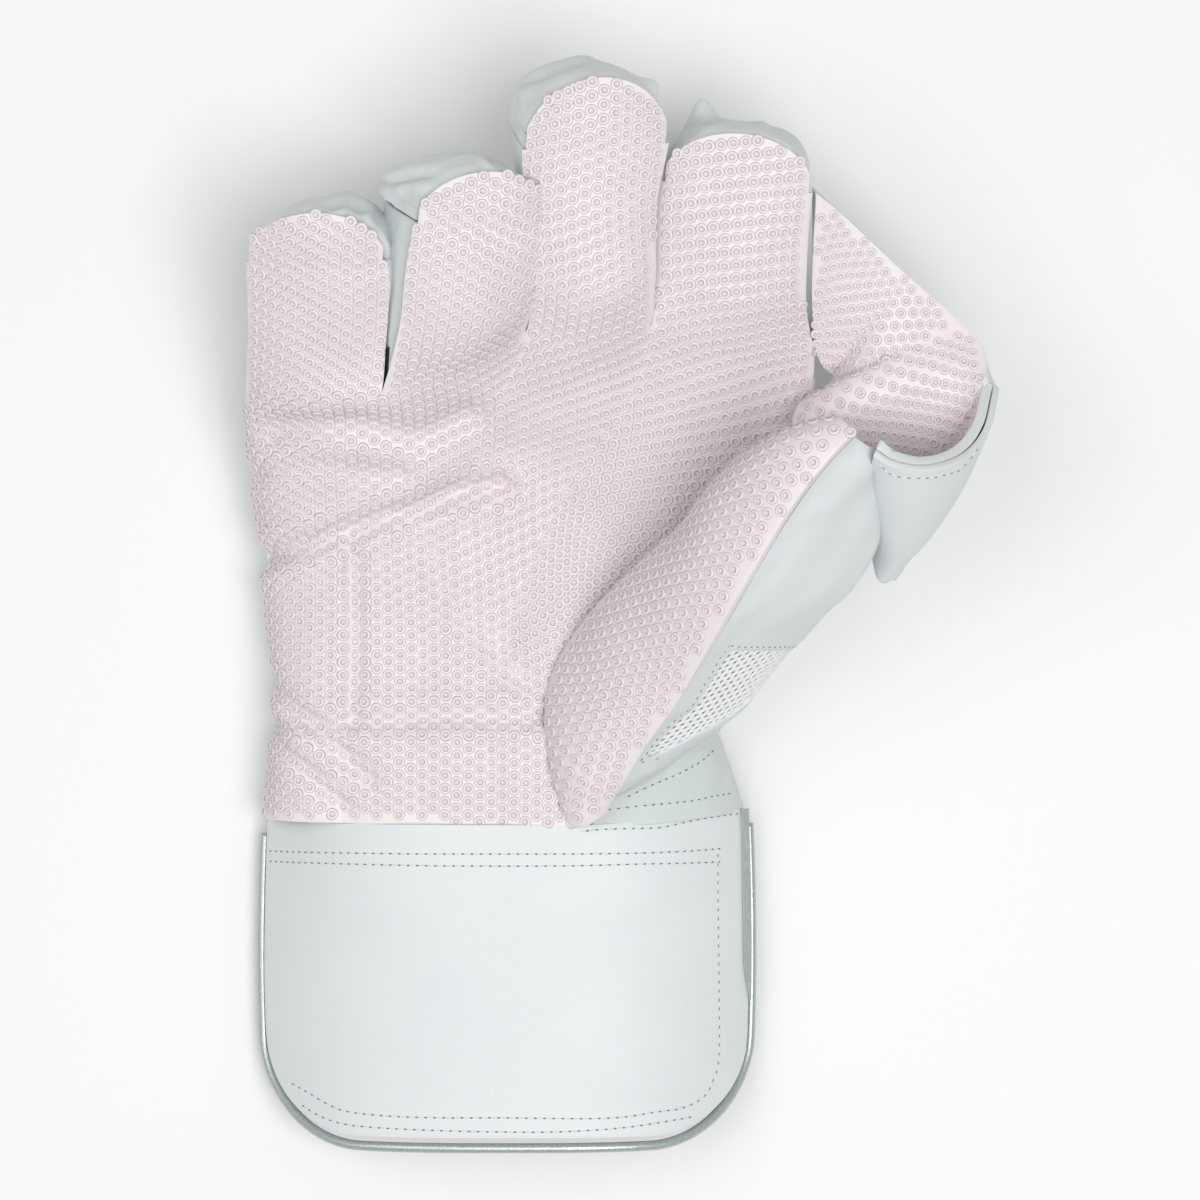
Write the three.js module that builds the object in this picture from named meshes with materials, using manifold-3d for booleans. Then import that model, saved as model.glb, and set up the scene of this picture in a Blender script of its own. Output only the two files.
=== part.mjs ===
// Right-hand wicketkeeping glove, lying on its back with the palm up.
// Millimetres, +Z up, fingers towards +Y, thumb towards +X.
import * as THREE from "three";
import { mergeVertices } from "three/addons/utils/BufferGeometryUtils.js";
import Module from "manifold-3d";

const wasm = await Module();
wasm.setup();

// Driving sizes
const GLOVE_WIDTH = 186;
const GLOVE_LENGTH = 270;
const GLOVE_HEIGHT = 98;
const FACING_THICK = 3;
const LEATHER_THICK = 2;
const PADDED_THICK = 4;
const WEB_FACING_THICK = 2.4;
const WEB_BACK_THICK = 1.6;
const FINGER_DEPTH = 28;
const FINGER_CROWN = 5;
const PALM_CROWN = 0.6;
const EDGE_CROWN = 5;
const THUMB_CROWN = 4;
const PIPING_RADIUS = 1.25;
const CLEARANCE = 0.35;

// Columns and rows of the surfaces
const STEPS = { across: 4, section: 3, tip: 4, thumb: 2, side: 8 };

// Palm: five lines run from the wrist to the roots of the fingers.
// Each point is [across, up, high]: shares of the glove's width, length and height.
const PALM = [
  {
    name: "wrist",
    line: [
      [-0.46, -0.204, 0.143], [-0.346, -0.206, 0.276], [-0.238, -0.208, 0.316],
      [-0.131, -0.209, 0.327], [-0.023, -0.208, 0.347],
    ],
  },
  {
    name: "heel",
    line: [
      [-0.448, -0.131, 0.153], [-0.344, -0.134, 0.306], [-0.244, -0.136, 0.327],
      [-0.147, -0.138, 0.327], [-0.053, -0.144, 0.337],
    ],
  },
  {
    name: "middle",
    line: [
      [-0.447, -0.063, 0.153], [-0.338, -0.062, 0.306], [-0.24, -0.062, 0.316],
      [-0.143, -0.063, 0.316], [-0.049, -0.069, 0.327],
    ],
  },
  {
    name: "low crease",
    line: [
      [-0.46, 0.033, 0.163], [-0.334, 0.06, 0.316], [-0.184, 0.095, 0.327],
      [-0.053, 0.087, 0.316], [0.047, 0.0, 0.347],
    ],
  },
  {
    name: "high crease",
    line: [
      [-0.472, 0.148, 0.276], [-0.313, 0.152, 0.459], [-0.142, 0.174, 0.459],
      [0.033, 0.18, 0.449], [0.245, 0.109, 0.408],
    ],
  },
  {
    name: "fork",
    line: [
      [-0.469, 0.188, 0.367], [-0.286, 0.184, 0.541], [-0.097, 0.237, 0.602],
      [0.065, 0.241, 0.592], [0.281, 0.204, 0.469],
    ],
  },
];

// Finger fronts above the fork: left and right edge of three sections, then the tip.
// lean is how far the leather back stands sideways and up from the front.
const FINGERS = [
  {
    name: "little",
    lean: [-0.022, -0.01],
    left: [[-0.464, 0.231, 0.469], [-0.46, 0.271, 0.551], [-0.458, 0.302, 0.592]],
    right: [[-0.278, 0.228, 0.592], [-0.27, 0.273, 0.673], [-0.273, 0.298, 0.704]],
    tip: [-0.362, 0.341, 0.755],
  },
  {
    name: "ring",
    lean: [-0.042, 0.01],
    left: [[-0.26, 0.235, 0.684], [-0.247, 0.289, 0.765], [-0.235, 0.33, 0.796]],
    right: [[-0.082, 0.269, 0.663], [-0.07, 0.304, 0.714], [-0.065, 0.333, 0.735]],
    tip: [-0.14, 0.374, 0.827],
  },
  {
    name: "middle",
    lean: [-0.022, 0.012],
    left: [[-0.089, 0.283, 0.694], [-0.097, 0.343, 0.745], [-0.099, 0.394, 0.786]],
    right: [[0.072, 0.288, 0.673], [0.073, 0.348, 0.724], [0.088, 0.401, 0.765]],
    tip: [0.0, 0.455, 0.847],
  },
  {
    name: "index",
    lean: [0, 0.004],
    left: [[0.071, 0.293, 0.653], [0.072, 0.34, 0.694], [0.078, 0.37, 0.714]],
    right: [[0.267, 0.268, 0.612], [0.268, 0.319, 0.684], [0.271, 0.359, 0.724]],
    tip: [0.18, 0.409, 0.786],
  },
];

// Back of the hand, a row for each palm section: how far it slips up the hand, its height,
// and where its thumb side runs.
const HAND_BACK = [
  { slip: 0, high: 0, side: [0.164, -0.196, 0.061] },
  { slip: 0, high: 0, side: [0.152, -0.137, 0.061] },
  { slip: 0, high: 0, side: [0.19, -0.08, 0.075] },
  { slip: 0.03, high: 0, side: [0.236, 0.0, 0.16] },
  { slip: 0.06, high: 0.12, side: [0.268, 0.105, 0.3] },
  { slip: 0.066, high: 0.345, side: [0.285, 0.204, 0.42] },
];
const THUMB_ROOT_ROW = 3;

// Rows of the palm that the dark band over the knuckles covers, and a seam's width in rows
const KNUCKLES = { from: 4.5, to: 4.96 };
const SEAM_ROWS = 0.04;

// Thumb sections from its root to its tip, each through four points.
const THUMB = [
  {
    valley: [-0.029, -0.204, 0.337], crest: [-0.003, -0.187, 0.367],
    side: [0.074, -0.16, 0.306], under: [0.154, -0.131, 0.082],
  },
  {
    valley: [-0.051, -0.161, 0.332], crest: [0.024, -0.164, 0.418],
    side: [0.096, -0.146, 0.327], under: [0.161, -0.124, 0.082],
  },
  {
    valley: [-0.06, -0.112, 0.327], crest: [0.06, -0.129, 0.5],
    side: [0.142, -0.126, 0.327], under: [0.17, -0.112, 0.082],
  },
  {
    valley: [-0.049, -0.066, 0.327], crest: [0.099, -0.093, 0.582],
    side: [0.19, -0.101, 0.306], under: [0.19, -0.092, 0.092],
  },
  {
    valley: [-0.009, -0.022, 0.367], crest: [0.129, -0.06, 0.673],
    side: [0.232, -0.062, 0.388], under: [0.216, -0.055, 0.153],
  },
  {
    valley: [0.053, 0.021, 0.469], crest: [0.156, -0.028, 0.755],
    side: [0.27, -0.03, 0.49], under: [0.242, -0.026, 0.265],
  },
  {
    valley: [0.109, 0.056, 0.571], crest: [0.192, 0.017, 0.837],
    side: [0.322, 0.007, 0.592], under: [0.285, 0.014, 0.388],
  },
  {
    valley: [0.148, 0.093, 0.663], crest: [0.233, 0.066, 0.898],
    side: [0.36, 0.053, 0.673], under: [0.321, 0.054, 0.49],
  },
  {
    valley: [0.193, 0.12, 0.735], crest: [0.265, 0.099, 0.939],
    side: [0.356, 0.09, 0.755], under: [0.324, 0.089, 0.592],
  },
  {
    valley: [0.247, 0.139, 0.816], crest: [0.294, 0.123, 0.959],
    side: [0.342, 0.111, 0.837], under: [0.32, 0.115, 0.714],
  },
  {
    valley: [0.303, 0.147, 0.888], crest: [0.319, 0.14, 0.949],
    side: [0.335, 0.132, 0.888], under: [0.328, 0.13, 0.8],
  },
];
const THUMB_FREE_ROW = 4;
const MESH_WINDOW = { from: 1.5, to: 4.5, low: 0.12, high: 0.62 };

// Web, a row for each station from the index finger round to the thumb's tip.
const WEB = [
  { rim: [0.274, 0.362, 0.714], foot: [0.275, 0.239, 0.51] },
  { rim: [0.322, 0.337, 0.653], foot: [0.284, 0.212, 0.449] },
  { rim: [0.389, 0.295, 0.592], foot: [0.316, 0.208, 0.449] },
  { rim: [0.424, 0.273, 0.571], foot: [0.305, 0.185, 0.469] },
  { rim: [0.46, 0.252, 0.551], foot: [0.283, 0.177, 0.5] },
  { rim: [0.483, 0.236, 0.551], foot: [0.262, 0.166, 0.531] },
  { rim: [0.501, 0.217, 0.571], foot: [0.262, 0.14, 0.531] },
  { rim: [0.507, 0.196, 0.612], foot: [0.33, 0.073, 0.43] },
  { rim: [0.508, 0.187, 0.633], foot: [0.38, 0.026, 0.45] },
  { rim: [0.492, 0.154, 0.735], foot: [0.375, 0.022, 0.47] },
  { rim: [0.458, 0.129, 0.816], foot: [0.37, 0.02, 0.48] },
  { rim: [0.411, 0.118, 0.878], foot: [0.366, 0.03, 0.49] },
  { rim: [0.369, 0.121, 0.918], foot: [0.36, 0.05, 0.51] },
  { rim: [0.345, 0.13, 0.939], foot: [0.35, 0.075, 0.56] },
];
const WEB_BELLY = 5;
const WEB_NEAR_BELLY = -0.5;

// Wrist gusset, from the palm round to the table: lower and upper edge
const GUSSET = [
  { low: [-0.012, -0.21, 0.325], high: [0.0, -0.188, 0.345] },
  { low: [0.075, -0.207, 0.29], high: [0.077, -0.161, 0.29] },
  { low: [0.15, -0.202, 0.2], high: [0.132, -0.14, 0.19] },
  { low: [0.198, -0.199, 0.085], high: [0.166, -0.129, 0.09] },
];

// Cuff
const CUFF = {
  left: -0.455, right: 0.2, top: -0.2065, bottom: -0.496, rightRise: 0.01,
  corner: 0.09, side: 0.083, arch: 0.345, bulge: 0.004,
};

// Places and smooth curves
function at(share) {
  return new THREE.Vector3(share[0] * GLOVE_WIDTH, share[1] * GLOVE_LENGTH, share[2] * GLOVE_HEIGHT);
}

function smooth(points, t) {
  const last = points.length - 1;
  const i = Math.min(Math.max(Math.floor(t), 0), last - 1);
  const f = t - i;
  const b = points[i];
  const c = points[i + 1];
  const a = i > 0 ? points[i - 1] : b.clone().multiplyScalar(2).sub(c);
  const d = i < last - 1 ? points[i + 2] : c.clone().multiplyScalar(2).sub(b);
  const out = new THREE.Vector3();
  out.addScaledVector(a, (-f + 2 * f * f - f * f * f) / 2);
  out.addScaledVector(b, (2 - 5 * f * f + 3 * f * f * f) / 2);
  out.addScaledVector(c, (f + 4 * f * f - 3 * f * f * f) / 2);
  out.addScaledVector(d, (-f * f + f * f * f) / 2);
  return out;
}

function smoothStep(low, high, t) {
  return THREE.MathUtils.smoothstep(t, low, high);
}

// Front of the hand: the palm's lines carry on as the fingers' edges
const FORK = PALM.length - 1;
const SHOULDER = FORK + FINGERS[0].left.length;
const palmLines = [0, 1, 2, 3, 4].map((n) => PALM.map((row) => at(row.line[n])));
const fingerEdges = FINGERS.map((finger) => ({
  left: finger.left.map(at),
  right: finger.right.map(at),
  tip: at(finger.tip),
}));

function palmLine(n, r) {
  const next = [];
  if (n < 4) {
    next.push(fingerEdges[n].left[0]);
  }
  if (n > 0) {
    next.push(fingerEdges[n - 1].right[0]);
  }
  const beyond = next.reduce((sum, p) => sum.add(p), new THREE.Vector3()).divideScalar(next.length);
  return smooth([...palmLines[n], beyond], r);
}

function edge(finger, side, r) {
  const n = side === "left" ? finger : finger + 1;
  if (r <= FORK) {
    return palmLine(n, r);
  }
  const points = [palmLines[n][FORK - 1], palmLines[n][FORK], ...fingerEdges[finger][side]];
  return smooth(points, r - FORK + 1);
}

function frame(finger, r) {
  const row = Math.min(r, SHOULDER);
  const step = 0.02;
  const across = edge(finger, "right", row).sub(edge(finger, "left", row));
  const low = edge(finger, "left", row - step).add(edge(finger, "right", row - step));
  const high = edge(finger, "left", row).add(edge(finger, "right", row));
  const up = row < step ? new THREE.Vector3(0, 1, 0) : high.sub(low);
  return across.clone().cross(up).normalize();
}

function crownHeight(finger, r) {
  const palm = finger === 0 ? EDGE_CROWN : PALM_CROWN;
  return THREE.MathUtils.lerp(palm, FINGER_CROWN, smoothStep(FORK - 1, FORK + 1, r));
}

function flatFront(finger, u, r, t) {
  const share = (u + 1) / 2;
  const point = edge(finger, "left", r).lerp(edge(finger, "right", r), share);
  if (t > 0) {
    const ends = fingerEdges[finger];
    const middle = edge(finger, "left", SHOULDER).add(edge(finger, "right", SHOULDER)).divideScalar(2);
    point.addScaledVector(ends.tip.clone().sub(middle), t * Math.sqrt(Math.max(0, 1 - u * u)));
  }
  return point;
}

function front(finger, u, r, t = 0) {
  const crown = crownHeight(finger, r) * (1 - u * u) * (1 - 0.75 * t * t);
  return flatFront(finger, u, r, t).addScaledVector(frame(finger, r), crown);
}

// Sheets of quads, welded by the name of each point
class Sheet {
  constructor() {
    this.names = new Map();
    this.points = [];
    this.quads = [];
  }

  point(name, make) {
    if (!this.names.has(name)) {
      this.names.set(name, this.points.length);
      this.points.push(make());
    }
    return this.names.get(name);
  }

  quad(a, b, c, d) {
    this.quads.push([a, b, c, d]);
  }

  static grid(columns, rows, make, keep = () => true) {
    const sheet = new Sheet();
    for (let j = 0; j < rows; j++) {
      for (let i = 0; i < columns; i++) {
        if (keep(i, j)) {
          const corner = (a, b) => sheet.point(`${a},${b}`, () => make(a, b));
          sheet.quad(corner(i, j), corner(i + 1, j), corner(i + 1, j + 1), corner(i, j + 1));
        }
      }
    }
    return sheet;
  }

  normals() {
    const sums = this.points.map(() => new THREE.Vector3());
    for (const [a, b, c, d] of this.quads) {
      const p = this.points;
      const first = p[c].clone().sub(p[a]);
      const second = p[d].clone().sub(p[b]);
      const normal = first.cross(second);
      for (const n of [a, b, c, d]) {
        sums[n].add(normal);
      }
    }
    return sums.map((n) => n.normalize());
  }

  border() {
    const once = new Map();
    for (const quad of this.quads) {
      quad.forEach((a, i) => {
        const b = quad[(i + 1) % 4];
        if (!once.delete(`${b},${a}`)) {
          once.set(`${a},${b}`, [a, b]);
        }
      });
    }
    return [...once.values()];
  }

  // A closed slab from height low to height high along the sheet's normals,
  // grown sideways at its border.
  slab(low, high, grow = 0) {
    const normals = this.normals();
    const border = this.border();
    const shift = this.points.map(() => new THREE.Vector3());
    for (const [a, b] of border) {
      const along = this.points[b].clone().sub(this.points[a]).normalize();
      shift[a].add(along.clone().cross(normals[a]));
      shift[b].add(along.clone().cross(normals[b]));
    }
    const count = this.points.length;
    const positions = [];
    for (const height of [high, low]) {
      this.points.forEach((p, i) => {
        const side = shift[i].lengthSq() > 0 ? shift[i].clone().normalize() : shift[i];
        const q = p.clone().addScaledVector(normals[i], height).addScaledVector(side, grow);
        positions.push(q.x, q.y, q.z);
      });
    }
    const index = [];
    const four = (a, b, c, d) => index.push(a, b, c, a, c, d);
    for (const [a, b, c, d] of this.quads) {
      four(a, b, c, d);
      four(a + count, d + count, c + count, b + count);
    }
    for (const [a, b] of border) {
      four(a, a + count, b + count, b);
    }
    return solid(positions, index);
  }
}

function solid(positions, index) {
  const geometry = new THREE.BufferGeometry();
  geometry.setAttribute("position", new THREE.Float32BufferAttribute(positions, 3));
  geometry.setIndex(index);
  return fromGeometry(geometry);
}

function fromGeometry(source) {
  const bare = source.clone();
  bare.deleteAttribute("normal");
  bare.deleteAttribute("uv");
  const geometry = mergeVertices(bare, 1e-4);
  return new wasm.Manifold(new wasm.Mesh({
    numProp: 3,
    vertProperties: new Float32Array(geometry.attributes.position.array),
    triVerts: new Uint32Array(geometry.index.array),
  }));
}

function toGeometry(manifold) {
  const mesh = manifold.getMesh();
  const geometry = new THREE.BufferGeometry();
  geometry.setAttribute("position", new THREE.Float32BufferAttribute(mesh.vertProperties, 3));
  geometry.setIndex([...mesh.triVerts]);
  geometry.computeVertexNormals();
  return geometry;
}

function largest(manifold) {
  const bodies = manifold.decompose();
  return bodies.reduce((best, body) => (body.volume() > best.volume() ? body : best));
}

// A round tube along a curve
function tube(curve, radius, steps) {
  const circle = new THREE.Shape();
  circle.absarc(0, 0, radius, 0, 2 * Math.PI, false);
  const options = { steps, curveSegments: 4, extrudePath: curve, bevelEnabled: false };
  return fromGeometry(new THREE.ExtrudeGeometry(circle, options));
}

// Pimpled facing of the palm and the finger fronts
function palmFacing() {
  const sheet = new Sheet();
  const n = STEPS.across;
  const palmRows = FORK * STEPS.section;
  const rows = SHOULDER * STEPS.section;
  for (let finger = 0; finger < 4; finger++) {
    const corner = (i, j) => {
      const column = j <= palmRows ? `${finger * n + i}` : `${finger}:${i}`;
      const r = Math.min(j, rows) / STEPS.section;
      const t = Math.max(0, j - rows) / STEPS.tip;
      const u = Math.sin((i / n - 0.5) * Math.PI) * 0.35 + (2 * i / n - 1) * 0.65;
      return sheet.point(`${column},${j}`, () => front(finger, u, r, Math.sin(t * Math.PI / 2)));
    };
    for (let j = 0; j < rows + STEPS.tip; j++) {
      for (let i = 0; i < n; i++) {
        sheet.quad(corner(i, j), corner(i + 1, j), corner(i + 1, j + 1), corner(i, j + 1));
      }
    }
  }
  return sheet;
}

// Leather round the sides and back of a finger, full depth within a few millimetres of its rim
function fingerShell(finger, u, r, t) {
  const side = Math.pow(Math.max(0, 1 - Math.pow(Math.abs(u), 4)), 0.25);
  const end = Math.pow(Math.max(0, 1 - Math.pow(t, 4)), 0.25);
  const depth = FACING_THICK + 2 * CLEARANCE + (FINGER_DEPTH - FACING_THICK) * side * end;
  const inset = 0.92 + 0.05 * smoothStep(FORK, FORK + 1, r);
  const point = flatFront(finger, u * inset, r, t * 0.97);
  const [aside, ahead] = FINGERS[finger].lean;
  const lean = at([aside, ahead, 0]).multiplyScalar(side * end * smoothStep(FORK, FORK + 2, r));
  return point.addScaledVector(frame(finger, r), -depth).add(lean);
}

function fingerBack(finger, fromRow, toRow, withTip) {
  const columns = STEPS.side;
  const straight = withTip ? 0 : 5;
  const rows = withTip ? STEPS.tip : straight;
  return Sheet.grid(columns, rows, (i, j) => {
    const u = -Math.sin((i / columns - 0.5) * Math.PI);
    const r = withTip ? SHOULDER : THREE.MathUtils.lerp(fromRow, toRow, j / rows);
    const t = withTip ? Math.sin((j / rows) * Math.PI / 2) : 0;
    return fingerShell(finger, u, r, t);
  });
}

// Back of the hand, from its little-finger side round the floor to its thumb side
function handBackPoint(a, r) {
  const shape = Math.pow(Math.max(0, 1 - Math.pow(Math.abs(a), 5)), 0.2);
  const side = smooth(HAND_BACK.map((row) => at(row.side)), r);
  const across = [palmLine(0, r), palmLine(1, r), palmLine(2, r), palmLine(3, r), side];
  across[0].z -= FACING_THICK + 2 * CLEARANCE;
  across[0].x += 0.5;
  const rest = smooth(HAND_BACK.map((row) => at([0, row.slip, row.high])), r);
  const straight = across[0].clone().lerp(side, (a + 1) / 2);
  const point = straight.lerp(smooth(across, (a + 1) * 2), smoothStep(FORK - 2, FORK - 1, r));
  point.y += rest.y * shape;
  point.z = THREE.MathUtils.lerp(point.z, Math.max(0, rest.z), shape);
  return point;
}

// Between thumb and index finger the same leather turns in, up to the palm's edge
function handSidePoint(f, r) {
  const end = palmLine(4, r);
  end.z -= FACING_THICK + 2 * CLEARANCE;
  return handBackPoint(1, r).lerp(end, f);
}

function handBack(fromRow, toRow, rows) {
  const columns = 2 * STEPS.side;
  const turned = 3;
  const point = (i, j) => {
    const r = THREE.MathUtils.lerp(fromRow, toRow, j / rows);
    if (i < turned) {
      return handSidePoint(1 - i / turned, r);
    }
    return handBackPoint(-Math.sin(((i - turned) / columns - 0.5) * Math.PI), r);
  };
  const rootRow = Math.ceil((THUMB_ROOT_ROW - fromRow) / (toRow - fromRow) * rows - 0.01);
  return Sheet.grid(columns + turned, rows, point, (i, j) => i >= turned || j >= rootRow);
}

// Thumb
const thumbLines = {};
for (const name of ["valley", "crest", "side", "under"]) {
  thumbLines[name] = THUMB.map((row) => at(row[name]));
}

function thumbAt(name, s) {
  return smooth(thumbLines[name], s);
}

function thumbFront(u, s) {
  const valley = thumbAt("valley", s);
  const crest = thumbAt("crest", s);
  const along = thumbAt("crest", Math.min(s + 0.1, 10)).sub(thumbAt("crest", Math.max(s - 0.1, 0)));
  const out = crest.clone().sub(valley).cross(along).normalize();
  const width = crest.distanceTo(valley);
  const crown = Math.min(THUMB_CROWN, width / 5) * 4 * u * (1 - u);
  return valley.lerp(crest, u).addScaledVector(out, crown);
}

function thumbPad(q, s) {
  const crest = thumbAt("crest", s);
  const side = thumbAt("side", s);
  const under = thumbAt("under", s);
  crest.z -= 2 * CLEARANCE;
  return smooth([crest, side, under], q * 2);
}

function windowShare(i, s) {
  const growth = THREE.MathUtils.clamp((s - MESH_WINDOW.from) / (MESH_WINDOW.to - MESH_WINDOW.from), 0, 1);
  const high = MESH_WINDOW.low + 0.06 + (MESH_WINDOW.high - MESH_WINDOW.low - 0.06) * Math.pow(growth, 0.6);
  if (i <= 2) {
    return MESH_WINDOW.low * (i / 2);
  }
  if (i <= 6) {
    return THREE.MathUtils.lerp(MESH_WINDOW.low, high, (i - 2) / 4);
  }
  return THREE.MathUtils.lerp(high, 1, (i - 6) / 5);
}

function inWindow(i, s) {
  return i >= 2 && i < 6 && s >= MESH_WINDOW.from && s < MESH_WINDOW.to;
}

const thumbRows = 10 * STEPS.thumb;

function thumbFacing() {
  return Sheet.grid(6, thumbRows, (i, j) => thumbFront(i / 6, j / STEPS.thumb));
}

function thumbLeather(keep) {
  return Sheet.grid(
    11, thumbRows,
    (i, j) => thumbPad(windowShare(i, j / STEPS.thumb), j / STEPS.thumb),
    (i, j) => keep(i, j / STEPS.thumb),
  );
}

function thumbUnder() {
  const first = THUMB_FREE_ROW * STEPS.thumb;
  return Sheet.grid(4, thumbRows - first, (i, j) => {
    if (j === 0) {
      return handSidePoint(i / 4, THUMB_ROOT_ROW - 0.03);
    }
    const s = (j + first) / STEPS.thumb;
    const under = thumbAt("under", s);
    const valley = thumbAt("valley", s);
    under.x -= 0.6;
    valley.z -= FACING_THICK + 2 * CLEARANCE;
    const sag = 3 * Math.sin((i / 4) * Math.PI);
    const point = under.lerp(valley, i / 4);
    point.z -= sag;
    return point;
  });
}

// Web
function webSheet() {
  const rims = WEB.map((row) => at(row.rim));
  const feet = WEB.map((row) => at(row.foot));
  const columns = WEB.length - 1;
  return Sheet.grid(columns, 5, (i, j) => {
    const rim = smooth(rims, i);
    const foot = smooth(feet, i);
    const ahead = smooth(rims, Math.min(i + 0.2, columns));
    const behind = smooth(rims, Math.max(i - 0.2, 0));
    const out = ahead.sub(behind).cross(rim.clone().sub(foot)).normalize();
    const f = j / 5;
    const puff = THREE.MathUtils.lerp(1, WEB_NEAR_BELLY, smoothStep(6, 9, i));
    const belly = WEB_BELLY * puff * Math.sin(f * Math.PI) * Math.min(1, Math.min(i, columns - i) / 2.5);
    return foot.lerp(rim, f).addScaledVector(out, belly);
  });
}

// Leather between the thumb's root and the cuff
function wristGusset() {
  const lower = GUSSET.map((row) => at(row.low));
  const upper = GUSSET.map((row) => at(row.high));
  const last = GUSSET.length - 1;
  return Sheet.grid(7, 3, (i, j) => smooth(lower, i * last / 7).lerp(smooth(upper, i * last / 7), j / 3));
}

// Cuff panels: straight top, round lower corners, arched front
function cuffOutline(u, v, inset = 0) {
  const left = CUFF.left * GLOVE_WIDTH + inset;
  const right = CUFF.right * GLOVE_WIDTH - inset;
  const top = (CUFF.top + CUFF.rightRise * smoothStep(0.3, 1, u)) * GLOVE_LENGTH;
  const corner = CUFF.corner * GLOVE_LENGTH;
  const half = (right - left) / 2;
  const reach = Math.max(0, Math.abs(u) * half - (half - corner)) / corner;
  const lift = corner * (1 - Math.sqrt(Math.max(0, 1 - reach * reach)));
  const bottom = CUFF.bottom * GLOVE_LENGTH + inset + lift;
  const bulge = CUFF.bulge * GLOVE_WIDTH * Math.sin(v * Math.PI * 0.8) * u;
  return new THREE.Vector3((left + right) / 2 + u * half + bulge, THREE.MathUtils.lerp(top, bottom, v), 0);
}

function cuffFrontPoint(u, v, inset = 0) {
  const point = cuffOutline(u, v, inset);
  const arch = 1 - Math.pow(Math.abs(u), 3);
  const high = CUFF.side + (CUFF.arch - CUFF.side) * arch * (1 - 0.12 * v);
  point.z = high * GLOVE_HEIGHT;
  return point;
}

function cuffColumns(i, count) {
  return Math.sin((i / count - 0.5) * Math.PI) * 0.6 + (2 * i / count - 1) * 0.4;
}

function cuffFront() {
  return Sheet.grid(16, 7, (i, j) => cuffFrontPoint(cuffColumns(16 - i, 16), j / 7));
}

function cuffBack() {
  return Sheet.grid(16, 4, (i, j) => cuffOutline(cuffColumns(16 - i, 16), j / 4, 1.5));
}

function cuffPiping(fromShare, toShare, place) {
  const points = [];
  const count = 24;
  for (let i = 0; i <= count; i++) {
    points.push(place(THREE.MathUtils.lerp(fromShare, toShare, i / count)));
  }
  return tube(new THREE.CatmullRomCurve3(points), PIPING_RADIUS, 26);
}

// The bead runs down one side, along the lower edge and up the other side,
// just off the middle of the panel's thickness
function frontPipingPoint(share) {
  const onSide = share < 0.25 || share > 0.75;
  const turn = share < 0.5 ? -1 : 1;
  const u = onSide ? turn : -Math.cos((share - 0.25) * 2 * Math.PI);
  const v = onSide ? 0.03 + (0.5 - Math.abs(share - 0.5)) * 4 * 0.97 : 1;
  const inU = u * 0.97;
  const inV = Math.min(v, 0.97);
  const across = cuffFrontPoint(inU + 0.01, inV).sub(cuffFrontPoint(inU - 0.01, inV));
  const down = cuffFrontPoint(inU, inV + 0.01).sub(cuffFrontPoint(inU, inV - 0.01));
  const normal = down.clone().cross(across).normalize();
  const along = onSide
    ? down.clone().multiplyScalar(-turn)
    : cuffFrontPoint(Math.min(u + 0.01, 1), 1).sub(cuffFrontPoint(Math.max(u - 0.01, -1), 1));
  const out = along.normalize().cross(normal).normalize();
  const reach = PIPING_RADIUS + CLEARANCE;
  return cuffFrontPoint(u, v).addScaledVector(normal, -PADDED_THICK / 2).addScaledVector(out, reach);
}

function backPipingPoint(share) {
  const u = THREE.MathUtils.lerp(-0.86, 0.86, share);
  const point = cuffOutline(u, 1, 1.5);
  const ahead = cuffOutline(u + 0.01, 1, 1.5);
  const out = ahead.sub(point).normalize();
  point.x += out.y * (PIPING_RADIUS + CLEARANCE);
  point.y -= out.x * (PIPING_RADIUS + CLEARANCE);
  point.z = PIPING_RADIUS + 0.2;
  return point;
}

// Colours
const PALE_RUBBER = { color: "#e8dedf", roughness: 0.55, metalness: 0 };
const WHITE_LEATHER = { color: "#dde3e4", roughness: 0.5, metalness: 0 };
const GREEN_LEATHER = { color: "#12302c", roughness: 0.6, metalness: 0 };
const WHITE_MESH = { color: "#f2f4f4", roughness: 0.8, metalness: 0 };
const SILVER_PIPING = { color: "#a9b5b3", roughness: 0.35, metalness: 0 };

const glove = new THREE.Group();
const placed = [];

// Adds a piece, cut back from the grown form of every earlier piece that it meets
function add(name, look, body, grown) {
  let shape = body;
  for (const other of placed) {
    if (shape.intersect(other.grown).volume() > 0) {
      shape = largest(shape.subtract(other.grown));
    }
  }
  placed.push({ name, grown });
  const mesh = new THREE.Mesh(toGeometry(shape), new THREE.MeshStandardMaterial(look));
  mesh.name = name;
  glove.add(mesh);
}

function addSheet(name, look, sheet, low, high) {
  const body = sheet.slab(low, high);
  const grown = sheet.slab(low - CLEARANCE, high + CLEARANCE, CLEARANCE);
  add(name, look, body, grown);
}

addSheet("palm_facing", PALE_RUBBER, palmFacing(), -FACING_THICK, 0);
addSheet("thumb_facing", PALE_RUBBER, thumbFacing(), 0, FACING_THICK);

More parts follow.
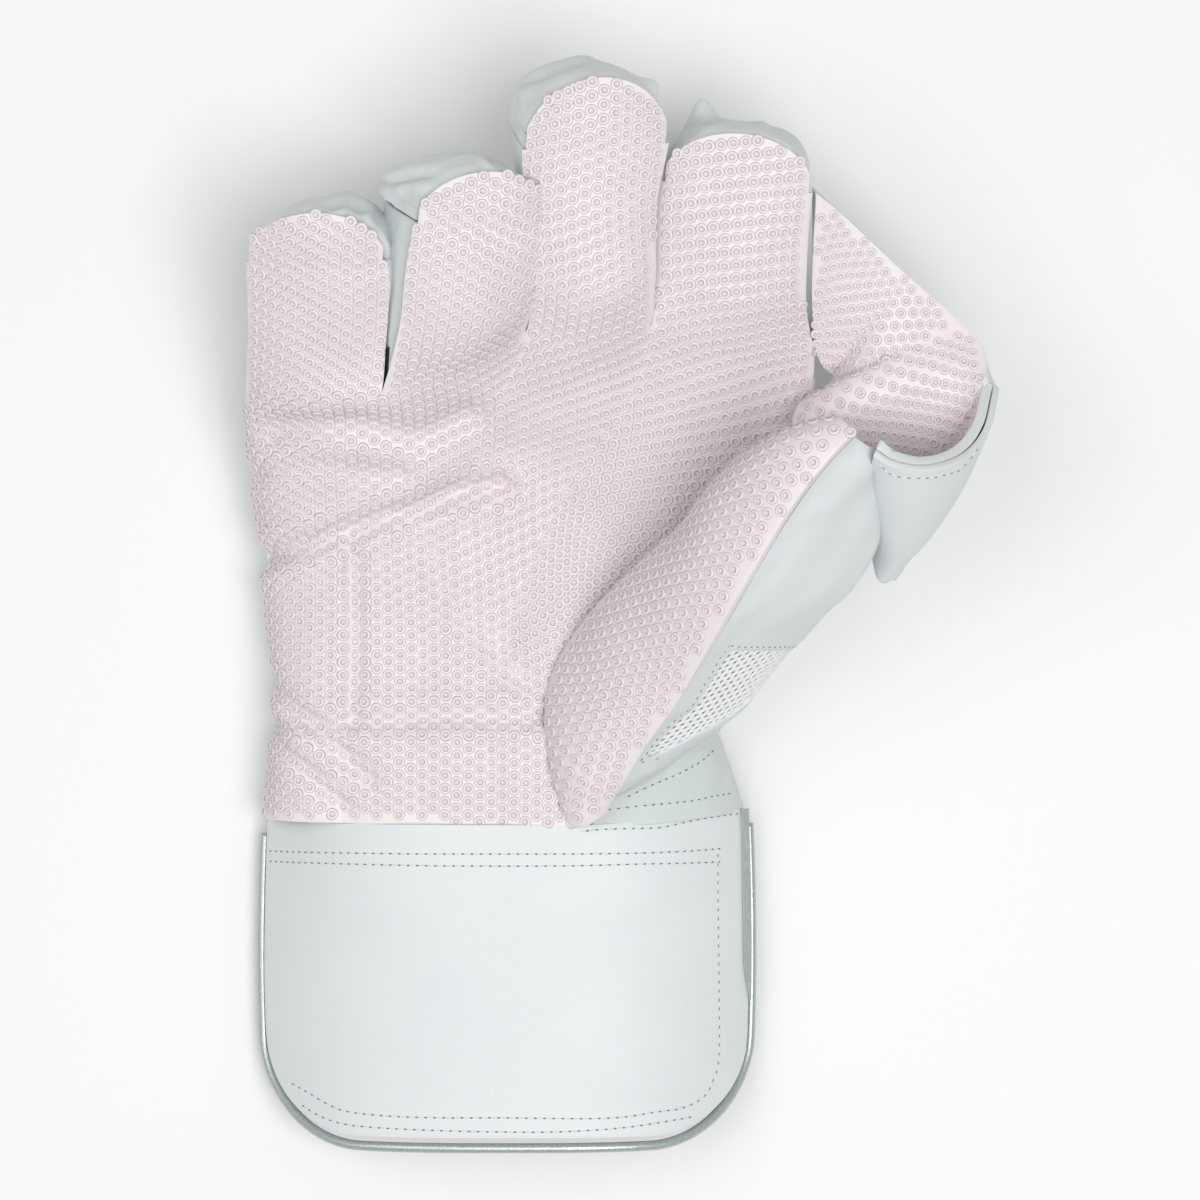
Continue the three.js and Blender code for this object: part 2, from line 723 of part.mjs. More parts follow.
const knuckles = handBack(KNUCKLES.from, KNUCKLES.to, 2);
addSheet("knuckle_band", GREEN_LEATHER, knuckles, -LEATHER_THICK, 0);
FINGERS.forEach((finger, n) => {
  const back = fingerBack(n, FORK, SHOULDER - SEAM_ROWS, false);
  const cap = fingerBack(n, SHOULDER, SHOULDER, true);
  addSheet(`finger_back_${finger.name}`, WHITE_LEATHER, back, -LEATHER_THICK, 0);
  addSheet(`finger_cap_${finger.name}`, WHITE_LEATHER, cap, -LEATHER_THICK, 0);
});
addSheet("hand_back", WHITE_LEATHER, handBack(0, KNUCKLES.from - SEAM_ROWS / 2, 10), -LEATHER_THICK, 0);
addSheet("thumb_pad", WHITE_LEATHER, thumbLeather((i, s) => !inWindow(i, s)), -LEATHER_THICK, 0);
addSheet("thumb_mesh", WHITE_MESH, thumbLeather(inWindow), -LEATHER_THICK, 0);
addSheet("thumb_under", WHITE_LEATHER, thumbUnder(), -LEATHER_THICK, 0);
addSheet("web_facing", PALE_RUBBER, webSheet(), 0, WEB_FACING_THICK);
addSheet("web_back", WHITE_LEATHER, webSheet(), -CLEARANCE - WEB_BACK_THICK, -CLEARANCE);
addSheet("cuff_front", WHITE_LEATHER, cuffFront(), -PADDED_THICK, 0);
addSheet("cuff_back", WHITE_LEATHER, cuffBack(), 0, PADDED_THICK);
addSheet("wrist_gusset", WHITE_LEATHER, wristGusset(), -LEATHER_THICK, 0);
const frontPiping = cuffPiping(0.01, 0.99, frontPipingPoint);
add("cuff_piping_front", SILVER_PIPING, frontPiping, frontPiping);
const backPiping = cuffPiping(0, 1, backPipingPoint);
add("cuff_piping_back", SILVER_PIPING, backPiping, backPiping);

// Origin under the middle of the glove, on the table
const box = new THREE.Box3().setFromObject(glove);
const middle = box.getCenter(new THREE.Vector3());
glove.position.set(-middle.x, -middle.y, -box.min.z);
glove.updateMatrixWorld(true);

export default glove;
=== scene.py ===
# %% [markdown]
# # A wicketkeeping glove, palm up
# The glove has pimpled rubber on the palm, leather on the back, a leather web between index
# finger and thumb, and a padded cuff with a silver bead. Its solids are already in the scene.
# Here each one is dressed by a finer surface that follows the same sections.

# %% Start
import math
import bpy
import bmesh
import numpy as np
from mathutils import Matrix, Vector, noise
from mathutils.bvhtree import BVHTree


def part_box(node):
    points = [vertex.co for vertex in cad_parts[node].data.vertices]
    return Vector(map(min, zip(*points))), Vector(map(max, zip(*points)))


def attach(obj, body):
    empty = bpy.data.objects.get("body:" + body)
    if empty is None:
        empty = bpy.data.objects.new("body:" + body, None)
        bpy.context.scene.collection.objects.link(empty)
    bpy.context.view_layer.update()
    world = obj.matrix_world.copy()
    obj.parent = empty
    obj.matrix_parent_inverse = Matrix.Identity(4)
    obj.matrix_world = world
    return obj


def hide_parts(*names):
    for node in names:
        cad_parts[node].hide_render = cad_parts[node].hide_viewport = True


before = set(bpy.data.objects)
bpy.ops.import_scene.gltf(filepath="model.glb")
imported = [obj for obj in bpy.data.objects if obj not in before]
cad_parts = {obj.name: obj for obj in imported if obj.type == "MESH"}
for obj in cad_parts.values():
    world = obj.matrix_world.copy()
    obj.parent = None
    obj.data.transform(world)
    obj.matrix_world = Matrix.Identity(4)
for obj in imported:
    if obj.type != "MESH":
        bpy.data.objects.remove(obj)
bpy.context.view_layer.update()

# %% [markdown]
# ## Sizes
# The solids were made from sections given as shares of the glove's width, length and height.
# The same sections are repeated here in millimetres, so the fine surfaces land on the solids.
# The solids were then centred, and the cuff's back panel tells how far they moved.

# %% Sizes and sections
WIDE, LONG, HIGH = 186.0, 270.0, 98.0
FACING, LEATHER, PADDED = 3.0, 2.0, 4.0
WEB_FACING, WEB_BACK = 2.4, 1.6
FINGER_DEPTH, FINGER_CROWN, PALM_CROWN, EDGE_CROWN, THUMB_CROWN = 28.0, 5.0, 0.6, 5.0, 4.0
CLEAR = 0.35
PIPING = 1.25

PALM = [
    [[-0.46, -0.204, 0.143], [-0.346, -0.206, 0.276], [-0.238, -0.208, 0.316],
     [-0.131, -0.209, 0.327], [-0.023, -0.208, 0.347]],
    [[-0.448, -0.131, 0.153], [-0.344, -0.134, 0.306], [-0.244, -0.136, 0.327],
     [-0.147, -0.138, 0.327], [-0.053, -0.144, 0.337]],
    [[-0.447, -0.063, 0.153], [-0.338, -0.062, 0.306], [-0.24, -0.062, 0.316],
     [-0.143, -0.063, 0.316], [-0.049, -0.069, 0.327]],
    [[-0.46, 0.033, 0.163], [-0.334, 0.06, 0.316], [-0.184, 0.095, 0.327],
     [-0.053, 0.087, 0.316], [0.047, 0.0, 0.347]],
    [[-0.472, 0.148, 0.276], [-0.313, 0.152, 0.459], [-0.142, 0.174, 0.459],
     [0.033, 0.18, 0.449], [0.245, 0.109, 0.408]],
    [[-0.469, 0.188, 0.367], [-0.286, 0.184, 0.541], [-0.097, 0.237, 0.602],
     [0.065, 0.241, 0.592], [0.281, 0.204, 0.469]],
]
FINGERS = [
    {"name": "little", "lean": [-0.022, -0.01],
     "left": [[-0.464, 0.231, 0.469], [-0.46, 0.271, 0.551], [-0.458, 0.302, 0.592]],
     "right": [[-0.278, 0.228, 0.592], [-0.27, 0.273, 0.673], [-0.273, 0.298, 0.704]],
     "tip": [-0.362, 0.341, 0.755]},
    {"name": "ring", "lean": [-0.042, 0.01],
     "left": [[-0.26, 0.235, 0.684], [-0.247, 0.289, 0.765], [-0.235, 0.33, 0.796]],
     "right": [[-0.082, 0.269, 0.663], [-0.07, 0.304, 0.714], [-0.065, 0.333, 0.735]],
     "tip": [-0.14, 0.374, 0.827]},
    {"name": "middle", "lean": [-0.022, 0.012],
     "left": [[-0.089, 0.283, 0.694], [-0.097, 0.343, 0.745], [-0.099, 0.394, 0.786]],
     "right": [[0.072, 0.288, 0.673], [0.073, 0.348, 0.724], [0.088, 0.401, 0.765]],
     "tip": [0.0, 0.455, 0.847]},
    {"name": "index", "lean": [0, 0.004],
     "left": [[0.071, 0.293, 0.653], [0.072, 0.34, 0.694], [0.078, 0.37, 0.714]],
     "right": [[0.267, 0.268, 0.612], [0.268, 0.319, 0.684], [0.271, 0.359, 0.724]],
     "tip": [0.18, 0.409, 0.786]},
]
HAND_BACK = [
    [0, 0, [0.164, -0.196, 0.061]], [0, 0, [0.152, -0.137, 0.061]], [0, 0, [0.19, -0.08, 0.075]],
    [0.03, 0, [0.236, 0.0, 0.16]], [0.06, 0.12, [0.268, 0.105, 0.3]], [0.066, 0.345, [0.285, 0.204, 0.42]],
]
THUMB = {
    "valley": [[-0.029, -0.204, 0.337], [-0.051, -0.161, 0.332], [-0.06, -0.112, 0.327],
               [-0.049, -0.066, 0.327],
               [-0.009, -0.022, 0.367], [0.053, 0.021, 0.469], [0.109, 0.056, 0.571], [0.148, 0.093, 0.663],
               [0.193, 0.12, 0.735], [0.247, 0.139, 0.816], [0.303, 0.147, 0.888]],
    "crest": [[-0.003, -0.187, 0.367], [0.024, -0.164, 0.418], [0.06, -0.129, 0.5], [0.099, -0.093, 0.582],
              [0.129, -0.06, 0.673], [0.156, -0.028, 0.755], [0.192, 0.017, 0.837], [0.233, 0.066, 0.898],
              [0.265, 0.099, 0.939], [0.294, 0.123, 0.959], [0.319, 0.14, 0.949]],
    "side": [[0.074, -0.16, 0.306], [0.096, -0.146, 0.327], [0.142, -0.126, 0.327], [0.19, -0.101, 0.306],
             [0.232, -0.062, 0.388], [0.27, -0.03, 0.49], [0.322, 0.007, 0.592], [0.36, 0.053, 0.673],
             [0.356, 0.09, 0.755], [0.342, 0.111, 0.837], [0.335, 0.132, 0.888]],
    "under": [[0.154, -0.131, 0.082], [0.161, -0.124, 0.082], [0.17, -0.112, 0.082], [0.19, -0.092, 0.092],
              [0.216, -0.055, 0.153], [0.242, -0.026, 0.265], [0.285, 0.014, 0.388], [0.321, 0.054, 0.49],
              [0.324, 0.089, 0.592], [0.32, 0.115, 0.714], [0.328, 0.13, 0.8]],
}
WEB = [
    [[0.274, 0.362, 0.714], [0.275, 0.239, 0.51]], [[0.322, 0.337, 0.653], [0.284, 0.212, 0.449]],
    [[0.389, 0.295, 0.592], [0.316, 0.208, 0.449]], [[0.424, 0.273, 0.571], [0.305, 0.185, 0.469]],
    [[0.46, 0.252, 0.551], [0.283, 0.177, 0.5]], [[0.483, 0.236, 0.551], [0.262, 0.166, 0.531]],
    [[0.501, 0.217, 0.571], [0.262, 0.14, 0.531]], [[0.507, 0.196, 0.612], [0.33, 0.073, 0.43]],
    [[0.508, 0.187, 0.633], [0.38, 0.026, 0.45]], [[0.492, 0.154, 0.735], [0.375, 0.022, 0.47]],
    [[0.458, 0.129, 0.816], [0.37, 0.02, 0.48]], [[0.411, 0.118, 0.878], [0.366, 0.03, 0.49]],
    [[0.369, 0.121, 0.918], [0.36, 0.05, 0.51]], [[0.345, 0.13, 0.939], [0.35, 0.075, 0.56]],
]
CUFF = dict(left=-0.455, right=0.2, top=-0.2065, bottom=-0.496, rise=0.01,
            corner=0.09, side=0.083, arch=0.345, bulge=0.004)
FORK, SHOULDER = 5, 8

low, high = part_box("cuff_back")
move = np.array([(low[0] + high[0]) * 500 - (CUFF["left"] + CUFF["right"]) / 2 * WIDE,
                 low[1] * 1000 - (CUFF["bottom"] * LONG + 1.5), 0.0])
print("the solids moved by", move)

# %% [markdown]
# ## Smooth lines through sections
# A Catmull-Rom curve passes through every section point, so a short table gives a soft form.
# It is worked out for many places at once, which keeps the script quick.

# %% Curves
def at(share):
    return np.asarray(share, float) * np.array([WIDE, LONG, HIGH])

def smooth(points, t):
    p = np.asarray(points, float)
    p = np.concatenate([[2 * p[0] - p[1]], p, [2 * p[-1] - p[-2]]])
    t = np.atleast_1d(np.asarray(t, float))
    i = np.clip(np.floor(t).astype(int), 0, len(p) - 4)
    f = (t - i)[:, None]
    a, b, c, d = p[i], p[i + 1], p[i + 2], p[i + 3]
    return 0.5 * (a * (-f + 2 * f**2 - f**3) + b * (2 - 5 * f**2 + 3 * f**3)
                  + c * (f + 4 * f**2 - 3 * f**3) + d * (-f**2 + f**3))

def ease(low, high, t):
    s = np.clip((np.asarray(t, float) - low) / (high - low), 0, 1)
    return s * s * (3 - 2 * s)

def unit(v):
    return v / np.maximum(np.linalg.norm(v, axis=-1, keepdims=True), 1e-9)

palm_lines = [at([row[n] for row in PALM]) for n in range(5)]
edges = [{side: at(f[side]) for side in ("left", "right")} for f in FINGERS]

def palm_line(n, r):
    beyond = [edges[n]["left"][0]] if n < 4 else []
    beyond += [edges[n - 1]["right"][0]] if n > 0 else []
    return smooth(np.vstack([palm_lines[n], np.mean(beyond, axis=0)]), r)

def edge(finger, side, r):
    n = finger if side == "left" else finger + 1
    r = np.atleast_1d(np.asarray(r, float))
    above = np.vstack([palm_lines[n][FORK - 1:], edges[finger][side]])
    return np.where((r <= FORK)[:, None], palm_line(n, r), smooth(above, np.maximum(r - FORK + 1, 0)))

def facing_out(finger, r):
    r = np.minimum(np.atleast_1d(np.asarray(r, float)), SHOULDER)
    across = edge(finger, "right", r) - edge(finger, "left", r)
    step = 0.02
    up = (edge(finger, "left", r) + edge(finger, "right", r)
          - edge(finger, "left", r - step) - edge(finger, "right", r - step))
    up[r < step] = [0, 1, 0]
    return unit(np.cross(across, up))

def crown(finger, r):
    palm = EDGE_CROWN if finger == 0 else PALM_CROWN
    return palm + (FINGER_CROWN - palm) * ease(FORK - 1, FORK + 1, r)

def flat_front(finger, u, r, t):
    left, right = edge(finger, "left", r), edge(finger, "right", r)
    out = left[:, None] + (right - left)[:, None] * ((u + 1) / 2)[..., None]
    ends = (edge(finger, "left", SHOULDER) + edge(finger, "right", SHOULDER))[0] / 2
    reach = at(FINGERS[finger]["tip"]) - ends
    return out + reach * (t[:, None] * np.sqrt(np.maximum(0, 1 - u * u)))[..., None]

def front(finger, u, r, t):
    rise = crown(finger, r)[:, None] * (1 - u * u) * (1 - 0.75 * t[:, None]**2)
    return flat_front(finger, u, r, t) + facing_out(finger, r)[:, None] * rise[..., None]

# %% [markdown]
# ## From a grid of points to a sheet with thickness
# A `Sheet` welds grids that share points, finds a normal at each point, and closes the outer
# and inner skins with a narrow wall. Solidify could do this, but here the inner skin takes its
# own material slot and the outer skin keeps a flat pattern in its UV map, one unit to 300 mm.

# %% Sheets
FLAT = 300.0

class Sheet:
    def __init__(self):
        self.points, self.flat, self.quads, self.names = [], [], [], {}

    def add_grid(self, points, flat=None, keep=None):
        rows, columns = points.shape[:2]
        if flat is None:
            flat = np.zeros((rows, columns, 2))
        index = np.empty((rows, columns), int)
        for j in range(rows):
            for i in range(columns):
                name = tuple(np.round(points[j, i], 3))
                if name not in self.names:
                    self.names[name] = len(self.points)
                    self.points.append(points[j, i])
                    self.flat.append(flat[j, i])
                index[j, i] = self.names[name]
        for j in range(rows - 1):
            for i in range(columns - 1):
                if keep is None or keep[j, i]:
                    quad = (index[j, i], index[j, i + 1], index[j + 1, i + 1], index[j + 1, i])
                    if len(set(quad)) == 4:
                        self.quads.append(quad)
        return self

    def ready(self):
        used = sorted({n for q in self.quads for n in q})
        new = {n: k for k, n in enumerate(used)}
        self.points = np.array([self.points[n] for n in used])
        self.flat = np.array([self.flat[n] for n in used])
        self.quads = np.array([[new[n] for n in q] for q in self.quads])
        return self

    def normals(self):
        p, q = self.points, self.quads
        n = np.cross(p[q[:, 2]] - p[q[:, 0]], p[q[:, 3]] - p[q[:, 1]])
        out = np.zeros_like(p)
        for k in range(4):
            np.add.at(out, q[:, k], n)
        return unit(out)

    def border(self):
        once = {}
        for quad in self.quads:
            for k in range(4):
                a, b = int(quad[k]), int(quad[(k + 1) % 4])
                if once.pop((b, a), None) is None:
                    once[(a, b)] = True
        return list(once)

def flatten(sheet, turns=300):
    # Lets the flat pattern settle until its edges are as long as the sheet's own
    q = sheet.quads
    pairs = np.unique(np.sort(np.vstack([q[:, [0, 1]], q[:, [1, 2]], q[:, [2, 3]], q[:, [3, 0]],
                                         q[:, [0, 2]], q[:, [1, 3]]]), axis=1), axis=0)
    a, b = pairs.T
    true = np.linalg.norm(sheet.points[a] - sheet.points[b], axis=1)
    share = np.bincount(np.concatenate([a, b]), minlength=len(sheet.points))[:, None]
    for _ in range(turns):
        gap = sheet.flat[b] - sheet.flat[a]
        now = np.maximum(np.linalg.norm(gap, axis=1), 1e-6)
        pull = gap * ((now - true) / now)[:, None]
        moved = np.stack([np.bincount(a, pull[:, k], len(share)) - np.bincount(b, pull[:, k], len(share))
                          for k in (0, 1)], axis=1)
        sheet.flat = sheet.flat + 0.9 * moved / share
    now = np.linalg.norm(sheet.flat[a] - sheet.flat[b], axis=1)
    print("flat pattern within", round(float(np.mean(np.abs(now / true - 1))) * 100, 1), "% of the sheet")

def tell(*things):
    for thing in things:
        print(thing.name, len(thing.data.polygons), "faces")

def put(name, data):
    thing = bpy.data.objects.new(name, data)
    bpy.context.scene.collection.objects.link(thing)
    return thing

def new_object(name, points, faces, flat=None, second=None):
    mesh = bpy.data.meshes.new(name)
    places = [tuple(p) for p in (points + move) / 1000]
    mesh.from_pydata(places, [], [tuple(int(n) for n in f) for f in faces])
    if flat is not None:
        layer = mesh.uv_layers.new(name="flat")
        loops = np.empty(len(mesh.loops), int)
        mesh.loops.foreach_get("vertex_index", loops)
        layer.data.foreach_set("uv", (flat[loops] / FLAT + 0.5).astype("f").ravel())
    if second is not None:
        mesh.polygons.foreach_set("material_index", np.asarray(second, "i"))
    mesh.polygons.foreach_set("use_smooth", np.ones(len(faces), bool))
    mesh.update()
    return put(name, mesh)

def slab(name, sheet, low, high, edge_round=0.35, rim=0):
    n, count = sheet.normals(), len(sheet.points)
    border = sheet.border()
    points = np.vstack([sheet.points + n * high, sheet.points + n * low])
    faces = [tuple(q) for q in sheet.quads] + [tuple(q[::-1] + count) for q in sheet.quads]
    second = [0] * len(sheet.quads) + [1] * len(sheet.quads)
    faces += [(a, a + count, b + count, b) for a, b in border]
    second += [rim] * len(border)
    thing = new_object(name, points, faces, np.vstack([sheet.flat, sheet.flat]), second)
    mark_edge(thing, border, count)
    if edge_round == 0:
        return thing
    bevel = thing.modifiers.new("soft edge", "BEVEL")
    bevel.width = edge_round / 1000
    bevel.segments = 2
    bevel.limit_method = "WEIGHT"
    return thing

def mark_edge(thing, border, count):
    weight = thing.data.attributes.new("bevel_weight_edge", "FLOAT", "EDGE")
    wanted = {frozenset(e) for e in border} | {frozenset((a + count, b + count)) for a, b in border}
    pairs = np.empty(len(thing.data.edges) * 2, int)
    thing.data.edges.foreach_get("vertices", pairs)
    for k, pair in enumerate(pairs.reshape(-1, 2)):
        if frozenset((int(pair[0]), int(pair[1]))) in wanted:
            weight.data[k].value = 1.0

def bumps(points, size, seed):
    shift = Vector((seed * 7.3, seed * 3.1, seed * 5.7))
    return np.array([noise.noise(Vector(p) / size + shift) for p in points])

def line_distance(points, line):
    best = np.full(len(points), 1e9)
    for a, b in zip(line[:-1], line[1:]):
        ab = b - a
        s = np.clip(((points - a) @ ab) / (ab @ ab), 0, 1)
        best = np.minimum(best, np.linalg.norm(points - a - s[:, None] * ab, axis=1))
    return best

# %% [markdown]
# ## The palm's rubber facing
# One sheet covers the palm and runs up each finger, slit between them. Its folds are the ones
# that a worn-in glove keeps: two creases below the fingers, one across the heel of the hand and
# a ridge up the palm. They are pressed into the sheet here, so that they also show in outline.

# %% Palm sheet
CREASES = [
    # across and up of the line's points as shares, depth and width in millimetres
    ([[-0.47, 0.035], [-0.36, 0.057], [-0.26, 0.083], [-0.18, 0.1], [-0.13, 0.103]], 2.6, 2.6),
    ([[-0.43, 0.154], [-0.33, 0.157], [-0.24, 0.146], [-0.17, 0.166]], 2.3, 3.4),
    ([[-0.46, 0.118], [-0.36, 0.125], [-0.26, 0.115]], 1.3, 2.6),
    ([[-0.45, -0.112], [-0.33, -0.113], [-0.2, -0.108], [-0.05, -0.11]], 1.5, 2.4),
    ([[-0.332, 0.05], [-0.328, -0.02], [-0.33, -0.11]], 1.2, 1.9),
    ([[-0.25, 0.07], [-0.2, 0.0], [-0.12, -0.06], [-0.07, -0.1]], 1.2, 3.5),
    ([[-0.45, -0.12], [-0.39, -0.16], [-0.34, -0.2]], 1.2, 2.4),
    ([[-0.45, -0.075], [-0.38, -0.12], [-0.31, -0.165]], 1.1, 2.4),
]

def crease_depth(points):
    depth = np.zeros(len(points))
    for line, deep, wide in CREASES:
        path = np.array(line) * [WIDE, LONG]
        away = line_distance(points[:, :2], path)
        depth += deep * (np.exp(-(away / wide) ** 2) - 0.45 * np.exp(-((away - 2 * wide) / wide) ** 2))
    return depth

def palm_sheet(across=26, per_row=16, tip=16):
    rows = np.linspace(0, SHOULDER, SHOULDER * per_row + 1)
    turned = np.sin(np.linspace(0, np.pi / 2, tip + 1))[1:]
    t = np.concatenate([np.zeros(len(rows)), turned])
    rows = np.concatenate([rows, np.full(tip, float(SHOULDER))])
    i = np.arange(across + 1)
    u = np.sin((i / across - 0.5) * np.pi) * 0.35 + (2 * i / across - 1) * 0.65
    u = np.tile(u, (len(rows), 1))
    rays = [front(finger, u, rows, t) for finger in range(4)]
    fork = FORK * per_row
    # The flat pattern runs on across the palm, and each finger keeps its own middle above the fork
    start = rays[1][:, 0, 0] - np.linalg.norm(np.diff(rays[0], axis=1), axis=2).sum(1)
    sheet = Sheet()
    for points in rays:
        aside = np.concatenate([np.zeros((len(rows), 1)),
                                np.cumsum(np.linalg.norm(np.diff(points, axis=1), axis=2), axis=1)], axis=1)
        flat_x = start[:, None] + aside
        half = across // 2
        flat_x[fork:] += flat_x[fork, half] - flat_x[fork:, half:half + 1]
        steps = np.linalg.norm(np.diff(points, axis=0), axis=2)
        flat_y = points[:1, :, 1] + np.concatenate([np.zeros((1, across + 1)), np.cumsum(steps, axis=0)])
        sheet.add_grid(points, np.stack([flat_x, flat_y], axis=2))
        start = start + aside[:, -1]
    sheet.ready()
    n = sheet.normals()
    drop = -crease_depth(sheet.points) + 0.9 * bumps(sheet.points, 20, 1) + 0.35 * bumps(sheet.points, 8, 2)
    calm = ease(0, 6, np.abs(sheet.points[:, 1] - PALM[0][2][1] * LONG))
    sheet.points = sheet.points + n * (drop * calm)[:, None]
    return sheet

palm = palm_sheet()
print("palm sheet points", len(palm.points))
palm_facing = slab("palm_rubber", palm, -FACING, 0)

# %% [markdown]
# ## The thumb's rubber facing
# The thumb has its own piece of the same rubber, from the valley beside the palm to the crest on
# its far side. It could be part of the palm's sheet, but on the glove it is sewn on, so it is a
# sheet of its own between two curves, crowned a little across.

# %% Thumb facing sheet
thumb_lines = {name: at(rows) for name, rows in THUMB.items()}

def thumb_at(name, s):
    return smooth(thumb_lines[name], s)

def thumb_front(columns=24, rows=90):
    s = np.linspace(0, 10, rows + 1)
    valley, crest = thumb_at("valley", s), thumb_at("crest", s)
    along = thumb_at("crest", np.minimum(s + 0.1, 10)) - thumb_at("crest", np.maximum(s - 0.1, 0))
    out = unit(np.cross(crest - valley, along))
    width = np.linalg.norm(crest - valley, axis=1)
    rise = np.minimum(THUMB_CROWN, width / 5)
    u = np.linspace(0, 1, columns + 1)
    points = valley[:, None] + (crest - valley)[:, None] * u[None, :, None]
    points = points + out[:, None] * (rise[:, None] * 4 * u * (1 - u))[..., None]
    aside = np.linalg.norm(np.diff(points, axis=1), axis=2)
    flat_x = np.concatenate([np.zeros((rows + 1, 1)), np.cumsum(aside, axis=1)], axis=1)
    flat_x = flat_x - flat_x[:, -1:]
    steps = np.linalg.norm(np.diff(points[:, -1], axis=0), axis=1)
    flat_y = np.concatenate([[0], np.cumsum(steps)])[:, None] * np.ones((1, columns + 1)) - 60
    return points, np.stack([flat_x, flat_y], axis=2)

points, flat = thumb_front()
thumb = Sheet().add_grid(points, flat).ready()
n = thumb.normals()
thumb.points = thumb.points + n * (0.5 * bumps(thumb.points, 20, 3))[:, None]
flatten(thumb)
thumb_facing = slab("thumb_rubber", thumb, 0.1, FACING)
print("thumb sheet points", len(thumb.points))

# %% [markdown]
# ## The web
# One curved wall joins the index finger to the thumb: rubber inside, leather outside. It is ruled
# from a foot line to a rim line and puffed in between. Its flat pattern is unrolled like a fan and
# then settles, since rings laid on a projected pattern would be stretched. Round one place the
# sheet is drawn aside, which leaves the small hole between the web and the palm.

# %% Web sheets
def web_points(columns=90, rows=36):
    rims, feet = at([row[0] for row in WEB]), at([row[1] for row in WEB])
    last = len(WEB) - 1
    s = np.linspace(0, last, columns + 1)
    rim, foot = smooth(rims, s), smooth(feet, s)
    ahead = smooth(rims, np.minimum(s + 0.2, last)) - smooth(rims, np.maximum(s - 0.2, 0))
    out = unit(np.cross(ahead, rim - foot))
    f = np.linspace(0, 1, rows + 1)
    puff = 5.0 * (1 - 1.5 * ease(6, 9, s)) * np.minimum(1, np.minimum(s, last - s) / 2.5)
    belly = np.sin(f * np.pi)[:, None] * puff[None]
    points = foot[None] + (rim - foot)[None] * f[:, None, None] + out[None] * belly[..., None]
    # Unrolled like a fan: each column turns by how much longer the rim is than the foot
    up = np.linalg.norm(np.diff(points, axis=0), axis=2)
    rise = np.concatenate([np.zeros((1, columns + 1)), np.cumsum(up, axis=0)])
    middle = rows // 2
    steps = np.linalg.norm(np.diff(points, axis=1), axis=2)
    spread = (steps[-1] - steps[0]) / (0.5 * (rise[-1, 1:] + rise[-1, :-1]))
    turn = np.concatenate([[0], np.cumsum(spread)])
    turn -= turn.mean()
    between = 0.5 * (turn[1:] + turn[:-1])
    walk = steps[middle][:, None] * np.stack([np.cos(between), -np.sin(between)], axis=1)
    centre = np.concatenate([[[0, 0]], np.cumsum(walk, axis=0)])
    out = np.stack([np.sin(turn), np.cos(turn)], axis=1)
    flat = centre[None] + (rise - rise[middle])[..., None] * out[None]
    return points, flat - flat.reshape(-1, 2).mean(0)

points, flat = web_points()
web = Sheet().add_grid(points, flat).ready()
web.points = web.points + web.normals() * (0.7 * bumps(web.points, 18, 4))[:, None]
WEB_HOLE = dict(across=0.2865, up=0.205, wide=4.0, pull=4.4, aside=2.0)
hole = np.array([WEB_HOLE["across"] * WIDE, WEB_HOLE["up"] * LONG])
spread = np.exp(-np.sum((web.points[:, :2] - hole) ** 2, axis=1) / WEB_HOLE["wide"] ** 2)
web.points[:, 0] += WEB_HOLE["pull"] * spread * np.sign(web.points[:, 0] - hole[0] + WEB_HOLE["aside"])
flatten(web)
web_facing = slab("web_rubber", web, 0.05, WEB_FACING, 0.5, 2)
web_back = slab("web_leather", web, -CLEAR - WEB_BACK, -CLEAR)
tell(web_facing, web_back)

# %% [markdown]
# ## Leather of the fingers, the hand's back and the thumb
# Each stall is a pocket: its leather leaves the facing's edge, turns round the side within a few
# millimetres and closes over the tip. Real leather there is loose and creased, so each skin is
# pushed in and out along its own normals by a soft noise with a longer and a shorter wave.

# %% Finger leather
def shell_grid(finger, r, t, columns):
    u = -np.sin((np.arange(columns + 1) / columns - 0.5) * np.pi)[None] * np.ones((len(r), 1))
    side = np.maximum(0, 1 - np.abs(u) ** 4) ** 0.25
    end = (np.maximum(0, 1 - t**4) ** 0.25)[:, None]
    depth = FACING + (FINGER_DEPTH - FACING + 2 * CLEAR) * side * end
    inset = (0.97 - 0.05 * (1 - ease(FORK, FORK + 1, r)))[:, None]
    flat = flat_front(finger, u * inset, r, t * 0.97)
    rim = (1 - ease(0, 1, side * end))[..., None]
    points = flat + (front(finger, u * inset, r, t * 0.97) - flat) * rim
    lean = at(FINGERS[finger]["lean"] + [0])
    points = points - facing_out(finger, r)[:, None] * depth[..., None]
    return points + lean * (side * end * ease(FORK, FORK + 2, r)[:, None])[..., None]

def from_rim(sheet):
    seam = sheet.points[[a for a, _ in sheet.border()]][::2]
    return np.concatenate([np.min(np.linalg.norm(part[:, None] - seam[None], axis=2), axis=1)
                           for part in np.array_split(sheet.points, 8)])

def wrinkle(sheet, seed, coarse=1.2, fine=0.45, waves=(16, 6)):
    # The seams hold the leather, so it is only loose away from them
    n = sheet.normals()
    push = coarse * bumps(sheet.points, waves[0], seed) + fine * bumps(sheet.points, waves[1], seed + 9)
    sheet.points = sheet.points + n * (push * ease(0.3, 5, from_rim(sheet)))[:, None]
    return sheet

